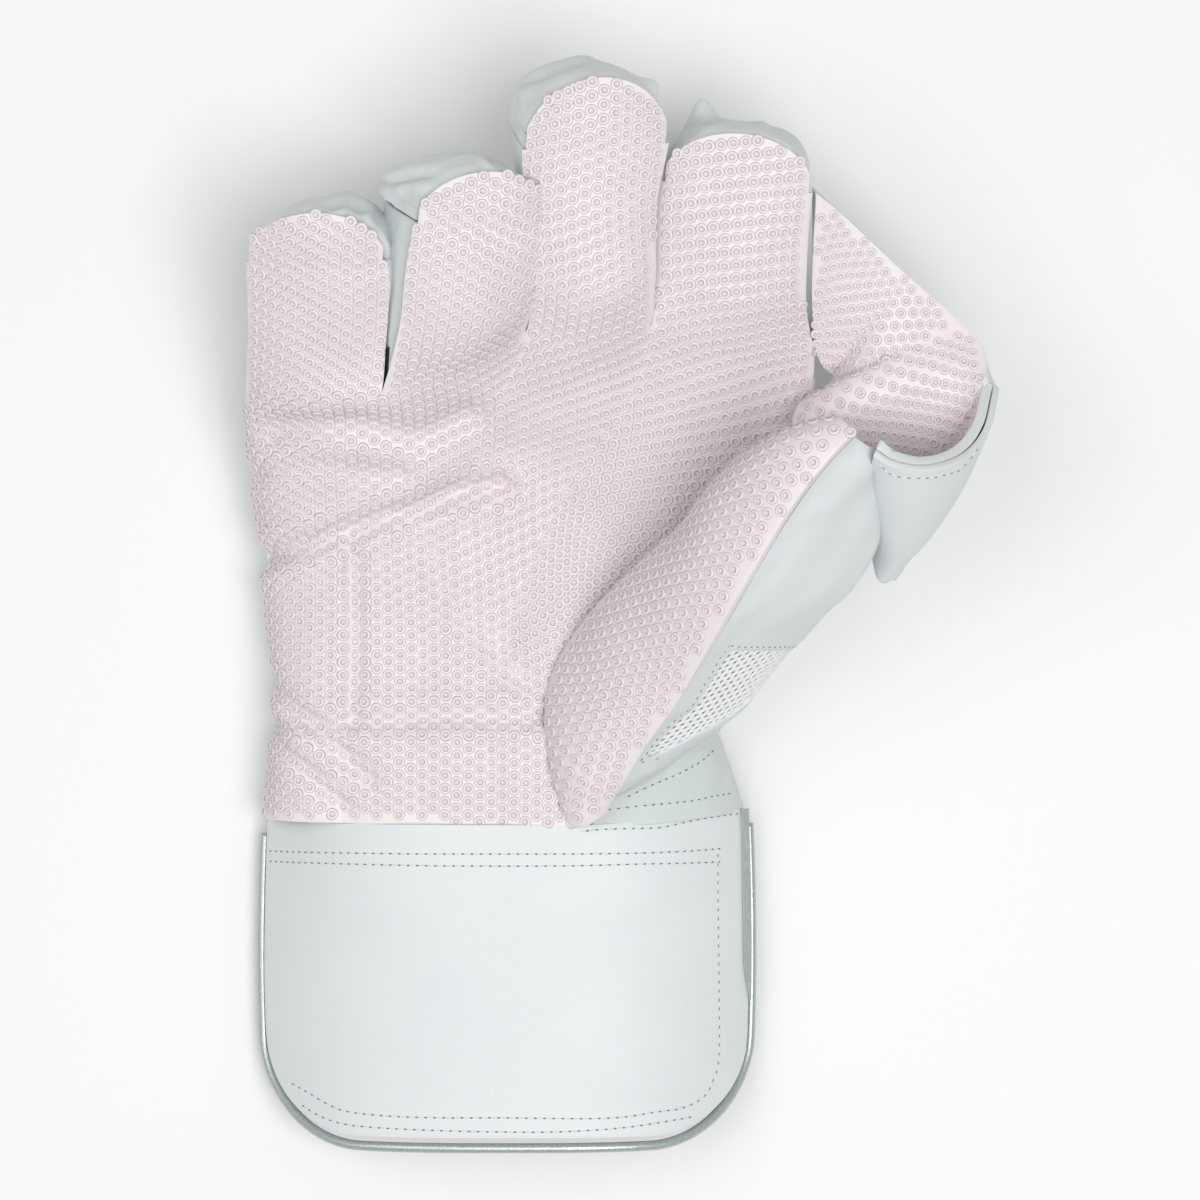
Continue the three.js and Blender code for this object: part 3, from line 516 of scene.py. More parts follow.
PULLS = {
    # a place on the tip's leather, how far it stands out there and how wide, in millimetres
    "little": [([-62, 94, 52], [0.5, 6.0, 3.0], 3.2), ([-70, 92, 48], [0, 1.5, 0], 6)],
    "ring": [([-50, 93, 58], [-3.0, 2.5, 1.5], 7), ([-27, 99, 62], [0, 3.0, 2.0], 5),
             ([-20, 98, 60], [2.0, 4.5, 1.0], 3)],
    "middle": [([-16, 118, 62], [-1.5, 3.0, 1.0], 7), ([12, 121, 60], [3.5, 4.5, 1.0], 4.5)],
    "index": [([24, 114, 50], [1.0, 7.0, 3.0], 4.2), ([31, 112, 52], [0, 2.5, 0], 4)],
}
TIP_FOLDS = {
    # a line across and up as shares, where the rim's roll meets the leather below it
    "little": [[-0.36, 0.345], [-0.325, 0.352], [-0.305, 0.345]],
    "ring": [[-0.283, 0.345], [-0.278, 0.366], [-0.252, 0.372], [-0.22, 0.374],
             [-0.187, 0.379], [-0.161, 0.382]],
    "middle": [[-0.106, 0.43], [-0.104, 0.448], [-0.088, 0.455], [-0.056, 0.4655], [-0.023, 0.473]],
    "index": [[0.14, 0.425], [0.17, 0.43], [0.2, 0.425]],
}

def crumple(sheet, name):
    n = sheet.normals()
    path = np.array(TIP_FOLDS[name]) * [WIDE, LONG]
    away = line_distance(sheet.points[:, :2], path)
    fold = -1.3 * np.exp(-(away / 0.9) ** 2) + 0.9 * np.exp(-((away - 2.2) / 1.3) ** 2)
    rim = from_rim(sheet)
    pucker = 0.35 * bumps(sheet.points * [1, 1, 0.4], 3.2, 77) * np.exp(-rim / 5)
    sheet.points = sheet.points + n * (fold * ease(0.3, 2.5, rim) + pucker * ease(0, 1, rim))[:, None]
    for place, pull, wide in PULLS[name]:
        near = np.exp(-np.sum((sheet.points - place) ** 2, axis=1) / wide**2)
        sheet.points = sheet.points + near[:, None] * np.array(pull)
    return sheet

finger_leather = {}
for k, finger in enumerate(FINGERS):
    r = np.linspace(FORK, SHOULDER - 0.04, 40)
    back = Sheet().add_grid(shell_grid(k, r, np.zeros(len(r)), 48)).ready()
    finger_leather[f"finger_back_{finger['name']}"] = slab(
        f"stall_{finger['name']}", wrinkle(back, 10 + k), -LEATHER, 0, 0)
    t = np.sin(np.linspace(0, np.pi / 2, 41))
    cap = Sheet().add_grid(shell_grid(k, np.full(41, float(SHOULDER)), t, 72)).ready()
    cap = crumple(wrinkle(cap, 20 + k), finger["name"])
    finger_leather[f"finger_cap_{finger['name']}"] = slab(f"tip_{finger['name']}", cap, -LEATHER, 0, 0)
tell(*finger_leather.values())

# %% [markdown]
# ## The gusset between two fingers
# A bit of dark green leather shows low in the slit between the little and the ring finger. It
# is too small for a solid of its own, so a short strip ruled between the rubber's edges
# stands for it.

# %% Root gusset
ROOT_GUSSET = dict(start=4.9, stop=5.9, drop=2.6)
r = np.linspace(ROOT_GUSSET["start"], ROOT_GUSSET["stop"], 18)
near_side = edge(0, "right", r) + [-1.2, 0, -ROOT_GUSSET["drop"]]
far_side = edge(1, "left", r) + [0.8, 0, -ROOT_GUSSET["drop"]]
strip = near_side[:, None] + (far_side - near_side)[:, None] * np.linspace(0, 1, 7)[None, :, None]
root_gusset = slab("root_gusset", Sheet().add_grid(strip).ready(), -1.5, 0, 0)
tell(root_gusset)

# %% [markdown]
# ## The hand's back and the knuckle band
# The glove lies on the leather of its back. The skin leaves the rubber's edge, turns down the
# side, runs flat across and rises again on the thumb's side, and a dark green band ends it below
# the fingers. One ruled grid gives both, cut into runs of rows and columns, so that their edges
# meet. A seam allowance closes the join on the little finger's side from within.

# %% Hand's back
def hand_back_grid(a, r):
    shape = np.maximum(0, 1 - np.abs(a) ** 5) ** 0.2
    side = smooth(at([row[2] for row in HAND_BACK]), r)
    start = palm_line(0, r) + [0.5, 0, -(FACING + 2 * CLEAR)]
    rest = smooth(at([[0, row[0], row[1]] for row in HAND_BACK]), r)
    straight = start[:, None] + (side - start)[:, None] * ((a + 1) / 2)[None, :, None]
    lines = np.stack([start, palm_line(1, r), palm_line(2, r), palm_line(3, r), side])
    curved = np.stack([smooth(lines[:, j], (a + 1) * 2) for j in range(len(r))])
    mix = ease(FORK - 2, FORK - 1, r)[:, None, None]
    points = straight * (1 - mix) + curved * mix
    points[..., 1] += rest[:, 1:2] * shape[None]
    points[..., 2] = points[..., 2] * (1 - shape[None]) + np.maximum(0, rest[:, 2:3]) * shape[None]
    return points

def hand_side(f, r):
    end = palm_line(4, r) - [0, 0, FACING + 2 * CLEAR]
    start = hand_back_grid(np.array([1.0]), r)[:, 0]
    return start[:, None] + (end - start)[:, None] * f[None, :, None]

def hand_back_sheet(from_row, to_row, rows, part=slice(None)):
    a = -np.sin((np.arange(61) / 60 - 0.5) * np.pi)
    f = 1 - np.arange(13) / 12
    r = np.linspace(from_row, to_row, rows + 1)
    turned = hand_side(f, r)
    points = np.concatenate([turned[:, :-1], hand_back_grid(a, r)], axis=1)
    keep = np.ones((rows, points.shape[1] - 1), bool)
    keep[:, :12] = (r[:-1] >= 3)[:, None]
    points, keep = points[:, part], keep[:, part]
    return Sheet().add_grid(points, None, keep).ready()

hand = hand_back_sheet(0, 4.48, 84)
n = hand.normals()
lifted = ease(1.5, 6, hand.points[:, 2])
hand.points = hand.points + n * ((0.8 * bumps(hand.points, 18, 31) - 0.2) * lifted)[:, None]
hand_back = slab("hand_leather", hand, -LEATHER, 0)
knuckle = hand_back_sheet(4.5, 4.96, 12, slice(19, None))
knuckle_band = slab("knuckle_leather", knuckle, -LEATHER, 0)
# A seam allowance stands behind the join of the palm's rubber and the hand's side
under_palm = BVHTree.FromObject(palm_facing, bpy.context.evaluated_depsgraph_get())
allowance = []
for rim in hand_back_grid(np.array([-1.0]), np.linspace(0.1, 4.9, 120))[:, 0]:
    start = rim + [1.6, 0, -2.5]
    hit = under_palm.ray_cast(Vector((start + move) / 1000), Vector((0, 0, 1)), 0.012)[0]
    if hit:
        top = np.array(hit) * 1000 - move + [0, 0, 0.3]
        allowance.append([start + (top - start) * k for k in (0, 0.5, 1)])
side_seam = slab("side_seam", Sheet().add_grid(np.array(allowance)).ready(), -0.5, 0.5, 0)
knuckle_side = slab("knuckle_side", hand_back_sheet(4.48, 4.98, 12, slice(0, 20)), -LEATHER, 0, 0)
tell(side_seam, knuckle_side)

# %% [markdown]
# ## The thumb's leather and its mesh window
# The thumb's back is one puffy piece of leather with a window of air mesh. The window could be cut
# by a boolean, but its edge would be ragged. Here the grid's columns follow the window's edge, the
# quads inside it are left out, and the mesh's backing takes them.

# %% Thumb leather and mesh window
WINDOW = dict(start=1.5, stop=4.5, low=0.12, high=0.62)

def window_columns(s):
    growth = np.clip((s - WINDOW["start"]) / (WINDOW["stop"] - WINDOW["start"]), 0, 1)
    high = WINDOW["low"] + 0.06 + (WINDOW["high"] - WINDOW["low"] - 0.06) * growth**0.6
    first = np.linspace(0, 1, 11)[:-1][None] * WINDOW["low"] * np.ones((len(s), 1))
    second = WINDOW["low"] + (high - WINDOW["low"])[:, None] * np.linspace(0, 1, 21)[None, :-1]
    third = high[:, None] + (1 - high)[:, None] * np.linspace(0, 1, 25)[None]
    return np.concatenate([first, second, third], axis=1)

def thumb_pad_points(s, q):
    crest, side, under = thumb_at("crest", s), thumb_at("side", s), thumb_at("under", s)
    crest = crest - [0, 0, 0.1]
    lines = np.stack([crest, side, under])
    return np.stack([smooth(lines[:, j], q[j] * 2) for j in range(len(s))])

s = np.linspace(0, 10, 101)
q = window_columns(s)
pad_points = thumb_pad_points(s, q)
inside = np.zeros((100, q.shape[1] - 1), bool)
rows_in = (s[:-1] >= WINDOW["start"] - 1e-6) & (s[:-1] < WINDOW["stop"] - 1e-6)
inside[np.ix_(rows_in, np.arange(10, 30))] = True
pad = Sheet().add_grid(pad_points, None, ~inside).ready()
crest_line = thumb_at("crest", np.linspace(0, 10, 120))
pad = wrinkle(pad, 41, 1.1, 0.4, (17, 7))
far = line_distance(pad.points, crest_line)
gather = 0.5 * bumps(pad.points, 3.6, 78) * np.exp(-far / 5) * ease(0.2, 2, far)
fill_out = 1.6 * np.exp(-((far - 9) / 6) ** 2) * ease(100, 125, pad.points[:, 0] + pad.points[:, 2])
pad.points = pad.points + pad.normals() * (gather + fill_out)[:, None]
thumb_pad = slab("thumb_leather", pad, -LEATHER, 0)

# The net reaches a little under the leather round the window
wider = np.zeros_like(inside)
wider[1:-1, 1:-1] = (inside[1:-1, 1:-1] | inside[:-2, 1:-1] | inside[2:, 1:-1]
                     | inside[1:-1, :-2] | inside[1:-1, 2:])
along = np.cumsum(np.linalg.norm(np.diff(pad_points[:, 20], axis=0), axis=1))
across = np.cumsum(np.linalg.norm(np.diff(pad_points, axis=1), axis=2), axis=1)
pad_flat = np.zeros(pad_points.shape[:2] + (2,))
pad_flat[:, 1:, 0] = across
pad_flat[:, :, 0] -= pad_flat[:, 10:11, 0]
pad_flat[1:, :, 1] = along[:, None]
air = Sheet().add_grid(pad_points, pad_flat, wider).ready()
thumb_mesh = slab("thumb_mesh_backing", air, -LEATHER, -1.5)

def thumb_under_points():
    f = np.linspace(0, 1, 25)
    first = hand_side(f, np.array([2.97]))
    s = np.linspace(4.5, 10, 56)
    under = thumb_at("under", s) - [0.6, 0, 0]
    drop = (FACING + 2 * CLEAR) * (1 - ease(4.6, 5.8, s)) + 0.1
    valley = thumb_at("valley", s) - drop[:, None] * [0, 0, 1]
    rest = under[:, None] + (valley - under)[:, None] * f[None, :, None]
    rest[..., 2] -= 3 * np.sin(f * np.pi)[None]
    near = first + (rest[:1] - first) * np.linspace(0, 0.9, 6)[:, None, None]
    return np.concatenate([near, rest])

below = Sheet().add_grid(thumb_under_points()).ready()
thumb_under = slab("thumb_underside", wrinkle(below, 43, 0.8, 0.3), -LEATHER, 0)

# The same leather runs on between the thumb's lower seam and the hand's side
share = np.linspace(0, 1, 30)
upper_seam = thumb_at("under", 1.2 + 3.9 * share) - [0.9, 0, -0.6]
lower_seam = smooth(at([row[2] for row in HAND_BACK]), 1.1 + 2.3 * share) - [0.9, 0, 0]
root_strip = lower_seam[None] + (upper_seam - lower_seam)[None] * np.linspace(0, 1, 9)[:, None, None]
thumb_root = slab("thumb_root", Sheet().add_grid(root_strip[::-1]).ready(), -1.2, 0, 0)
tell(thumb_root)

# %% [markdown]
# ## The cuff
# Two padded panels of leather over foam, with straight tops and round lower corners. The front
# one arches over the wrist. Both are edged by a silver bead on a cord core.

# %% Cuff panels
def cuff_outline(u, v, inset=0.0):
    left, right = CUFF["left"] * WIDE + inset, CUFF["right"] * WIDE - inset
    top = (CUFF["top"] + CUFF["rise"] * ease(0.3, 1, u)) * LONG
    corner, half = CUFF["corner"] * LONG, (right - left) / 2
    reach = np.maximum(0, np.abs(u) * half - (half - corner)) / corner
    bottom = CUFF["bottom"] * LONG + inset + corner * (1 - np.sqrt(np.maximum(0, 1 - reach**2)))
    bulge = CUFF["bulge"] * WIDE * np.sin(v * np.pi * 0.8) * u
    across = (left + right) / 2 + u * half + bulge
    return np.stack([across, top + (bottom - top) * v, 0 * u + 0 * v], axis=-1)

def cuff_front_points(u, v, inset=0.0):
    points = cuff_outline(u, v, inset)
    arch = 1 - np.abs(u) ** 3
    points[..., 2] = (CUFF["side"] + (CUFF["arch"] - CUFF["side"]) * arch * (1 - 0.12 * v)) * HIGH
    return points

i = np.arange(91)
u = np.sin((i / 90 - 0.5) * np.pi) * 0.6 + (2 * i / 90 - 1) * 0.4
v = np.linspace(0, 1, 61)
U, V = np.meshgrid(u[::-1], v)
front_sheet = Sheet().add_grid(cuff_front_points(U, V)).ready()
swell = 0.35 * bumps(front_sheet.points, 26, 51)
front_sheet.points = front_sheet.points + front_sheet.normals() * swell[:, None]
cuff_front = slab("cuff_front_leather", front_sheet, -PADDED, 0, 1.0)
back_sheet = Sheet().add_grid(cuff_outline(U, V, 1.5)).ready()
cuff_back = slab("cuff_back_leather", back_sheet, 0, PADDED, 0.8)
tell(cuff_front, cuff_back)

# %% [markdown]
# ## The wrist's gusset
# A soft suede wedge fills the corner between the cuff and the thumb's leather, so that the wrist
# can bend. It is ruled between two curves, which is enough for such a small flat piece.

# %% Wrist gusset
lower = at([[-0.012, -0.21, 0.325], [0.075, -0.207, 0.29], [0.15, -0.202, 0.2], [0.198, -0.199, 0.085]])
upper = at([[0.0, -0.188, 0.345], [0.077, -0.161, 0.29], [0.132, -0.14, 0.19], [0.166, -0.129, 0.09]])
t = np.linspace(0, 3, 41)
bottom_line, top_line = smooth(lower, t), smooth(upper, t)
# Its upper edge runs on a little way under the thumb's leather, where it is sewn
f = np.linspace(0, 1.14, 20)[:, None, None]
tucked = bottom_line[None] + (top_line - bottom_line)[None] * f - ease(0.94, 1.04, f) * [0.5, -0.3, 0.7]
gusset_sheet = Sheet().add_grid(tucked).ready()
wrist_gusset = slab("wrist_leather", wrinkle(gusset_sheet, 61, 0.6, 0.3, (12, 5)), -LEATHER, 0)
tell(wrist_gusset)

# %% [markdown]
# ## Silver piping
# Piping is a cord wrapped in tape and sewn into a seam. A curve with a round bevel could draw it,
# but the bead keeps its distance from the padded edge, so a tube is swept along points that are
# worked out from the cuff's own outline.

# %% Piping beads
def tube(name, path, radius, sides=12):
    path = np.asarray(path)
    tangent = unit(np.gradient(path, axis=0))
    side = unit(np.cross(tangent, [0, 0, 1]))
    up = np.cross(side, tangent)
    angle = np.arange(sides) / sides * 2 * np.pi
    rings = (path[:, None] + radius * (np.cos(angle)[None, :, None] * side[:, None]
                                       + np.sin(angle)[None, :, None] * up[:, None]))
    count = len(path)
    points = rings.reshape(-1, 3)
    faces = []
    for j in range(count - 1):
        for i in range(sides):
            a, b = j * sides + i, j * sides + (i + 1) % sides
            faces.append((a, a + sides, b + sides, b))
    faces.append(tuple(range(sides)))
    faces.append(tuple(range((count - 1) * sides, count * sides))[::-1])
    flat = np.zeros((len(points), 2))
    length = np.concatenate([[0], np.cumsum(np.linalg.norm(np.diff(path, axis=0), axis=1))])
    flat[:, 0] = np.repeat(length - length[-1] / 2, sides)
    flat[:, 1] = np.tile(np.arange(sides) / sides * 8, count)
    thing = new_object(name, points, faces, flat)
    thing.data.materials.clear()
    check = bmesh.new()
    check.from_mesh(thing.data)
    bmesh.ops.recalc_face_normals(check, faces=check.faces)
    check.to_mesh(thing.data)
    check.free()
    return thing

def front_bead(share):
    on_side = share < 0.25 or share > 0.75
    turn = -1.0 if share < 0.5 else 1.0
    u = turn if on_side else -math.cos((share - 0.25) * 2 * math.pi)
    v = 0.03 + (0.5 - abs(share - 0.5)) * 4 * 0.97 if on_side else 1.0
    in_u, in_v = u * 0.97, min(v, 0.97)
    def place(a, b):
        return cuff_front_points(np.float64(a), np.float64(b))

    across = place(in_u + 0.01, in_v) - place(in_u - 0.01, in_v)
    down = place(in_u, in_v + 0.01) - place(in_u, in_v - 0.01)
    normal = unit(np.cross(down, across))
    along = down * -turn if on_side else place(min(u + 0.01, 1), 1) - place(max(u - 0.01, -1), 1)
    out = unit(np.cross(unit(along), normal))
    level = unit(out * [1, 1, 0])
    return place(u, v) - normal * PADDED / 2 + out * (PIPING + CLEAR) + level * 1.1

path = [front_bead(share) for share in np.linspace(0.01, 0.99, 200)]
piping_front = tube("piping_front_bead", path, PIPING)

def flange(rows=60, wide=1.9):
    # The piping's own tape, seen between the leather and the bead on the thumb's side
    grid = []
    for v in np.linspace(0.0, 0.86, rows):
        narrow = 1 - ease(0.55, 0.86, v)
        edge_line = [cuff_front_points(np.float64(1 - f * wide / 60), np.float64(v))
                     for f in (-0.12, 0, 0.45 * narrow, 0.9 * narrow + 0.02)]
        ahead = cuff_front_points(np.float64(1.0), np.float64(v + 0.01))
        normal = unit(np.cross(ahead - edge_line[1], edge_line[0] - edge_line[3]))
        grid.append([p + normal * 0.25 for p in edge_line])
    sheet = Sheet().add_grid(np.array(grid)).ready()
    return slab("piping_flange", sheet, 0, 0.35, 0.1)

piping_tape = flange()

def back_bead(share):
    u = -0.86 + 1.72 * share
    here = cuff_outline(np.float64(u), np.float64(1), 1.5)
    ahead = cuff_outline(np.float64(u + 0.01), np.float64(1), 1.5)
    out = unit(ahead - here)
    reach = PIPING + CLEAR
    return here + [out[1] * reach, -out[0] * reach, PIPING + 0.2]

piping_back = tube("piping_back_bead", [back_bead(s) for s in np.linspace(0, 1, 120)], PIPING)
tell(piping_back)

# %% [markdown]
# ## Rings on the rubber
# The facing is moulded with small rings in a honeycomb lattice. One ring is a low doughnut.
# Geometry Nodes lay a lattice of points on the flat pattern, find each point's place on the
# sheet through its UV map, and set a ring there, so the lattice bends with the rubber.

# %% Ring tree
# How far apart the rings are in millimetres, and their size, on each piece of rubber
RING = dict(palm=(3.32, 1.09), thumb=(3.4, 1.08), web=(3.0, 0.94))

def add_node(tree, kind, settings=None, inputs=None):
    made = tree.nodes.new(kind)
    for key, value in (settings or {}).items():
        setattr(made, key, value)
    for key, value in (inputs or {}).items():
        if isinstance(value, bpy.types.NodeSocket):
            tree.links.new(value, made.inputs[key])
        else:
            made.inputs[key].default_value = value
    return made

def ring_mesh():
    # radius and height in millimetres, and how much painted shade lies there, from the crater outwards
    around, profile = 10, [(0.56, 0.03, 0.2), (0.66, 0.3, 0.95), (0.8, 0.44, 0.0), (1.12, 0.44, 0.0),
                          (1.34, 0.22, 0.35), (1.45, -0.15, 1.0)]
    mesh = bpy.data.meshes.new("ring_shape")
    verts, faces = [], []
    for i in range(around):
        a = i / around * 2 * math.pi
        verts += [(math.cos(a) * r / 1000, math.sin(a) * r / 1000, z / 1000) for r, z, _ in profile]
    m = len(profile)
    for i in range(around):
        j = (i + 1) % around
        faces += [(i * m + k, i * m + k + 1, j * m + k + 1, j * m + k) for k in range(m - 1)]
    faces.append(tuple(i * m for i in range(around)))
    mesh.from_pydata(verts, [], faces)
    mesh.polygons.foreach_set("use_smooth", np.ones(len(faces), bool))
    # Painted shade on each ring point, darkest on the crater wall and at the ring's foot
    tone = mesh.attributes.new("ring_shade", "FLOAT", "POINT")
    tone.data.foreach_set("value", np.array([row[2] for row in profile] * around, "f"))
    mesh.update()
    return put("ring_shape", mesh)

def lattice_points(low, high, pitch, turn=0.0):
    step = pitch * math.sqrt(3) / 2
    out = []
    centre = (np.array(low) + np.array(high)) / 2
    reach = np.linalg.norm(np.array(high) - np.array(low)) / 2 + pitch
    for i in range(-int(reach / step) - 1, int(reach / step) + 2):
        for j in range(-int(reach / pitch) - 1, int(reach / pitch) + 2):
            p = np.array([i * step, (j + (i % 2) / 2) * pitch])
            c, s = math.cos(turn), math.sin(turn)
            p = np.array([c * p[0] - s * p[1], s * p[0] + c * p[1]]) + centre
            if np.all(p >= low) and np.all(p <= high):
                out.append((p[0] / FLAT + 0.5, p[1] / FLAT + 0.5, 0))
    return out

def add_sockets(tree, out, **kinds):
    for name, kind in kinds.items():
        tree.interface.new_socket(name, in_out="INPUT", socket_type="NodeSocket" + kind)
    tree.interface.new_socket(out, in_out="OUTPUT", socket_type="NodeSocketGeometry")

def object_shape(tree, socket):
    node = add_node(tree, "GeometryNodeObjectInfo", {"transform_space": "ORIGINAL"}, {"Object": socket})
    return node.outputs["Geometry"]

def named(tree, name, kind="FLOAT_VECTOR"):
    node = add_node(tree, "GeometryNodeInputNamedAttribute", {"data_type": kind}, {"Name": name})
    return node.outputs["Attribute"]

def store(tree, geometry, name, value, kind):
    node = add_node(tree, "GeometryNodeStoreNamedAttribute", {"data_type": kind, "domain": "POINT"},
                    {"Geometry": geometry, "Name": name, "Value": value})
    return node.outputs[0]

def on_pattern(tree, skin, field):
    # What the field is on the skin, at the spot whose place in the flat pattern is this point's
    here = add_node(tree, "GeometryNodeInputPosition")
    return add_node(tree, "GeometryNodeSampleUVSurface", {"data_type": "FLOAT_VECTOR"},
                    {"Mesh": skin, "Value": field.outputs[0], "UV Map": named(tree, "flat"),
                     "Sample UV": here.outputs[0]})

def wrap(tree, geometry, skin):
    # Moves flat points on to the skin and deletes those that miss it
    place = on_pattern(tree, skin, add_node(tree, "GeometryNodeInputPosition"))
    missed = add_node(tree, "FunctionNodeBooleanMath", {"operation": "NOT"}, {0: place.outputs["Is Valid"]})
    marked = store(tree, geometry, "missed", missed.outputs[0], "BOOLEAN")
    placed = add_node(tree, "GeometryNodeSetPosition", None,
                      {"Geometry": marked, "Position": place.outputs["Value"]})
    kept = add_node(tree, "GeometryNodeDeleteGeometry", {"domain": "POINT"},
                    {"Geometry": placed.outputs[0], "Selection": named(tree, "missed", "BOOLEAN")})
    return kept.outputs[0]

def ring_tree():
    tree = bpy.data.node_groups.new("rings on a flat pattern", "GeometryNodeTree")
    add_sockets(tree, "Rings", Lattice="Geometry", Skin="Object", Ring="Object", Size="Float",
                Rubber="Material")
    entry = add_node(tree, "NodeGroupInput")
    skin = object_shape(tree, entry.outputs["Skin"])
    up = on_pattern(tree, skin, add_node(tree, "GeometryNodeInputNormal"))
    aimed = store(tree, entry.outputs["Lattice"], "up", up.outputs["Value"], "FLOAT_VECTOR")
    points = add_node(tree, "GeometryNodeMeshToPoints", None, {"Mesh": wrap(tree, aimed, skin)})
    turn = add_node(tree, "FunctionNodeAlignRotationToVector", {"axis": "Z"}, {"Vector": named(tree, "up")})
    laid = add_node(tree, "GeometryNodeInstanceOnPoints", None,
                    {"Points": points.outputs[0], "Instance": object_shape(tree, entry.outputs["Ring"]),
                     "Rotation": turn.outputs[0], "Scale": entry.outputs["Size"]})
    real = add_node(tree, "GeometryNodeRealizeInstances", None, {"Geometry": laid.outputs[0]})
    dressed = add_node(tree, "GeometryNodeSetMaterial", None,
                       {"Geometry": real.outputs[0], "Material": entry.outputs["Rubber"]})
    add_node(tree, "NodeGroupOutput", None, {0: dressed.outputs[0]})
    return tree

# %% [markdown]
# ## The net of the mesh
# Air mesh is knitted with round holes in a honeycomb. A picture of holes would look flat from the
# side, so one flat net with real holes is wrapped on the window by its flat pattern, as the
# rings are.

# %% Net tree
def net_tree():
    tree = bpy.data.node_groups.new("net on a flat pattern", "GeometryNodeTree")
    add_sockets(tree, "Net", Net="Geometry", Skin="Object", Yarn="Material")
    entry = add_node(tree, "NodeGroupInput")
    wrapped = wrap(tree, entry.outputs["Net"], object_shape(tree, entry.outputs["Skin"]))
    soft = add_node(tree, "GeometryNodeSetShadeSmooth", None, {"Geometry": wrapped, "Shade Smooth": True})
    dressed = add_node(tree, "GeometryNodeSetMaterial", None,
                       {"Geometry": soft.outputs[0], "Material": entry.outputs["Yarn"]})
    add_node(tree, "NodeGroupOutput", None, {0: dressed.outputs[0]})
    return tree

def net_mesh(low, high, pitch=2.5, hole=0.62):
    # Hexagonal cells in a staggered lattice, each with a round hole of six double sides
    step = pitch * math.sqrt(3) / 2
    verts, faces, names = [], [], {}

    def corner(x, y):
        name = (round(x, 2), round(y, 2))
        if name not in names:
            names[name] = len(verts)
            verts.append((x / FLAT + 0.5, y / FLAT + 0.5, 0))
        return names[name]

    for i in range(int((high[0] - low[0]) / step) + 2):
        for j in range(int((high[1] - low[1]) / pitch) + 2):
            x, y = low[0] + i * step, low[1] + (j + (i % 2) / 2) * pitch
            outer, inner = [], []
            for k in range(12):
                a = k * math.pi / 6
                reach = pitch / math.sqrt(3) * (1.0 if k % 2 == 0 else math.sqrt(3) / 2)
                outer.append(corner(x + reach * math.cos(a), y + reach * math.sin(a)))
                inner.append(corner(x + hole * math.cos(a), y + hole * math.sin(a)))
            faces += [(inner[k], outer[k], outer[(k + 1) % 12], inner[(k + 1) % 12]) for k in range(12)]
    mesh = bpy.data.meshes.new("net_flat")
    mesh.from_pydata(verts, [], faces)
    return mesh

# %% [markdown]
# ## Stitches
# Every seam is a row of lock stitches: short runs of thread, each end drawn down into a needle
# hole that reads as a small dark mark. A row is drawn as a line of shares on the piece, dropped
# on to its surface, and Geometry Nodes set one stitch at each step along it.

# %% Stitch tree
def stitch_mesh(length=1.2, thick=0.2, mark=0.55):
    mesh = bpy.data.meshes.new("stitch_shape")
    verts, faces, second = [], [], []

    def ball(centre, half, rings, sides, kind):
        start = len(verts)
        for i in range(rings + 1):
            b = i / rings * math.pi
            for j in range(sides):
                a = j / sides * 2 * math.pi
                x = -math.cos(b)
                y, z = math.sin(b) ** 0.6 * math.cos(a), math.sin(b) ** 0.6 * math.sin(a)
                verts.append(tuple((c + h * v) / 1000 for c, h, v in zip(centre, half, (x, y, z))))
        for i in range(rings):
            for j in range(sides):
                k = (j + 1) % sides
                faces.append((start + i * sides + j, start + i * sides + k,
                              start + (i + 1) * sides + k, start + (i + 1) * sides + j))
                second.append(kind)

    ball((0, 0, 0), (length / 2, thick, thick), 4, 6, 0)
    ball((length / 2 + mark, 0, 0.0), (mark, mark * 0.45, 0.12), 2, 6, 1)
    mesh.from_pydata(verts, [], faces)
    mesh.polygons.foreach_set("material_index", np.array(second, "i"))
    mesh.polygons.foreach_set("use_smooth", np.ones(len(faces), bool))
    mesh.update()
    return put("stitch_shape", mesh)

def stitch_tree():
    tree = bpy.data.node_groups.new("stitches along a row", "GeometryNodeTree")
    add_sockets(tree, "Stitches", Row="Geometry", Stitch="Object", Pitch="Float")
    entry = add_node(tree, "NodeGroupInput")
    curve = add_node(tree, "GeometryNodeMeshToCurve", None, {"Mesh": entry.outputs["Row"]})
    even = add_node(tree, "GeometryNodeResampleCurve", {"mode": "LENGTH"},
                    {"Curve": curve.outputs[0], "Length": entry.outputs["Pitch"]})
    along = add_node(tree, "GeometryNodeInputTangent")
    first = add_node(tree, "FunctionNodeAlignRotationToVector", {"axis": "X"}, {"Vector": along.outputs[0]})
    second = add_node(tree, "FunctionNodeAlignRotationToVector", {"axis": "Z", "pivot_axis": "X"},
                      {"Rotation": first.outputs[0], "Vector": named(tree, "up")})
    laid = add_node(tree, "GeometryNodeInstanceOnPoints", None,
                    {"Points": even.outputs[0], "Instance": object_shape(tree, entry.outputs["Stitch"]),
                     "Rotation": second.outputs[0]})
    real = add_node(tree, "GeometryNodeRealizeInstances", None, {"Geometry": laid.outputs[0]})
    add_node(tree, "NodeGroupOutput", None, {0: real.outputs[0]})
    return tree

def drop_row(thing, line, lift):
    tree = BVHTree.FromObject(thing, bpy.context.evaluated_depsgraph_get())
    points = np.column_stack([np.array(line) * [WIDE, LONG], np.zeros(len(line))])
    t = np.linspace(0, len(line) - 1, 12 * len(line))
    curve = smooth(points, t) + move
    places, ups = [], []
    for x, y, _ in curve / 1000:
        hit, normal, _, _ = tree.ray_cast(Vector((x, y, 0.3)), Vector((0, 0, -1)))
        if hit is not None:
            places.append(hit + normal * lift / 1000)
            ups.append(normal)
    return places, ups

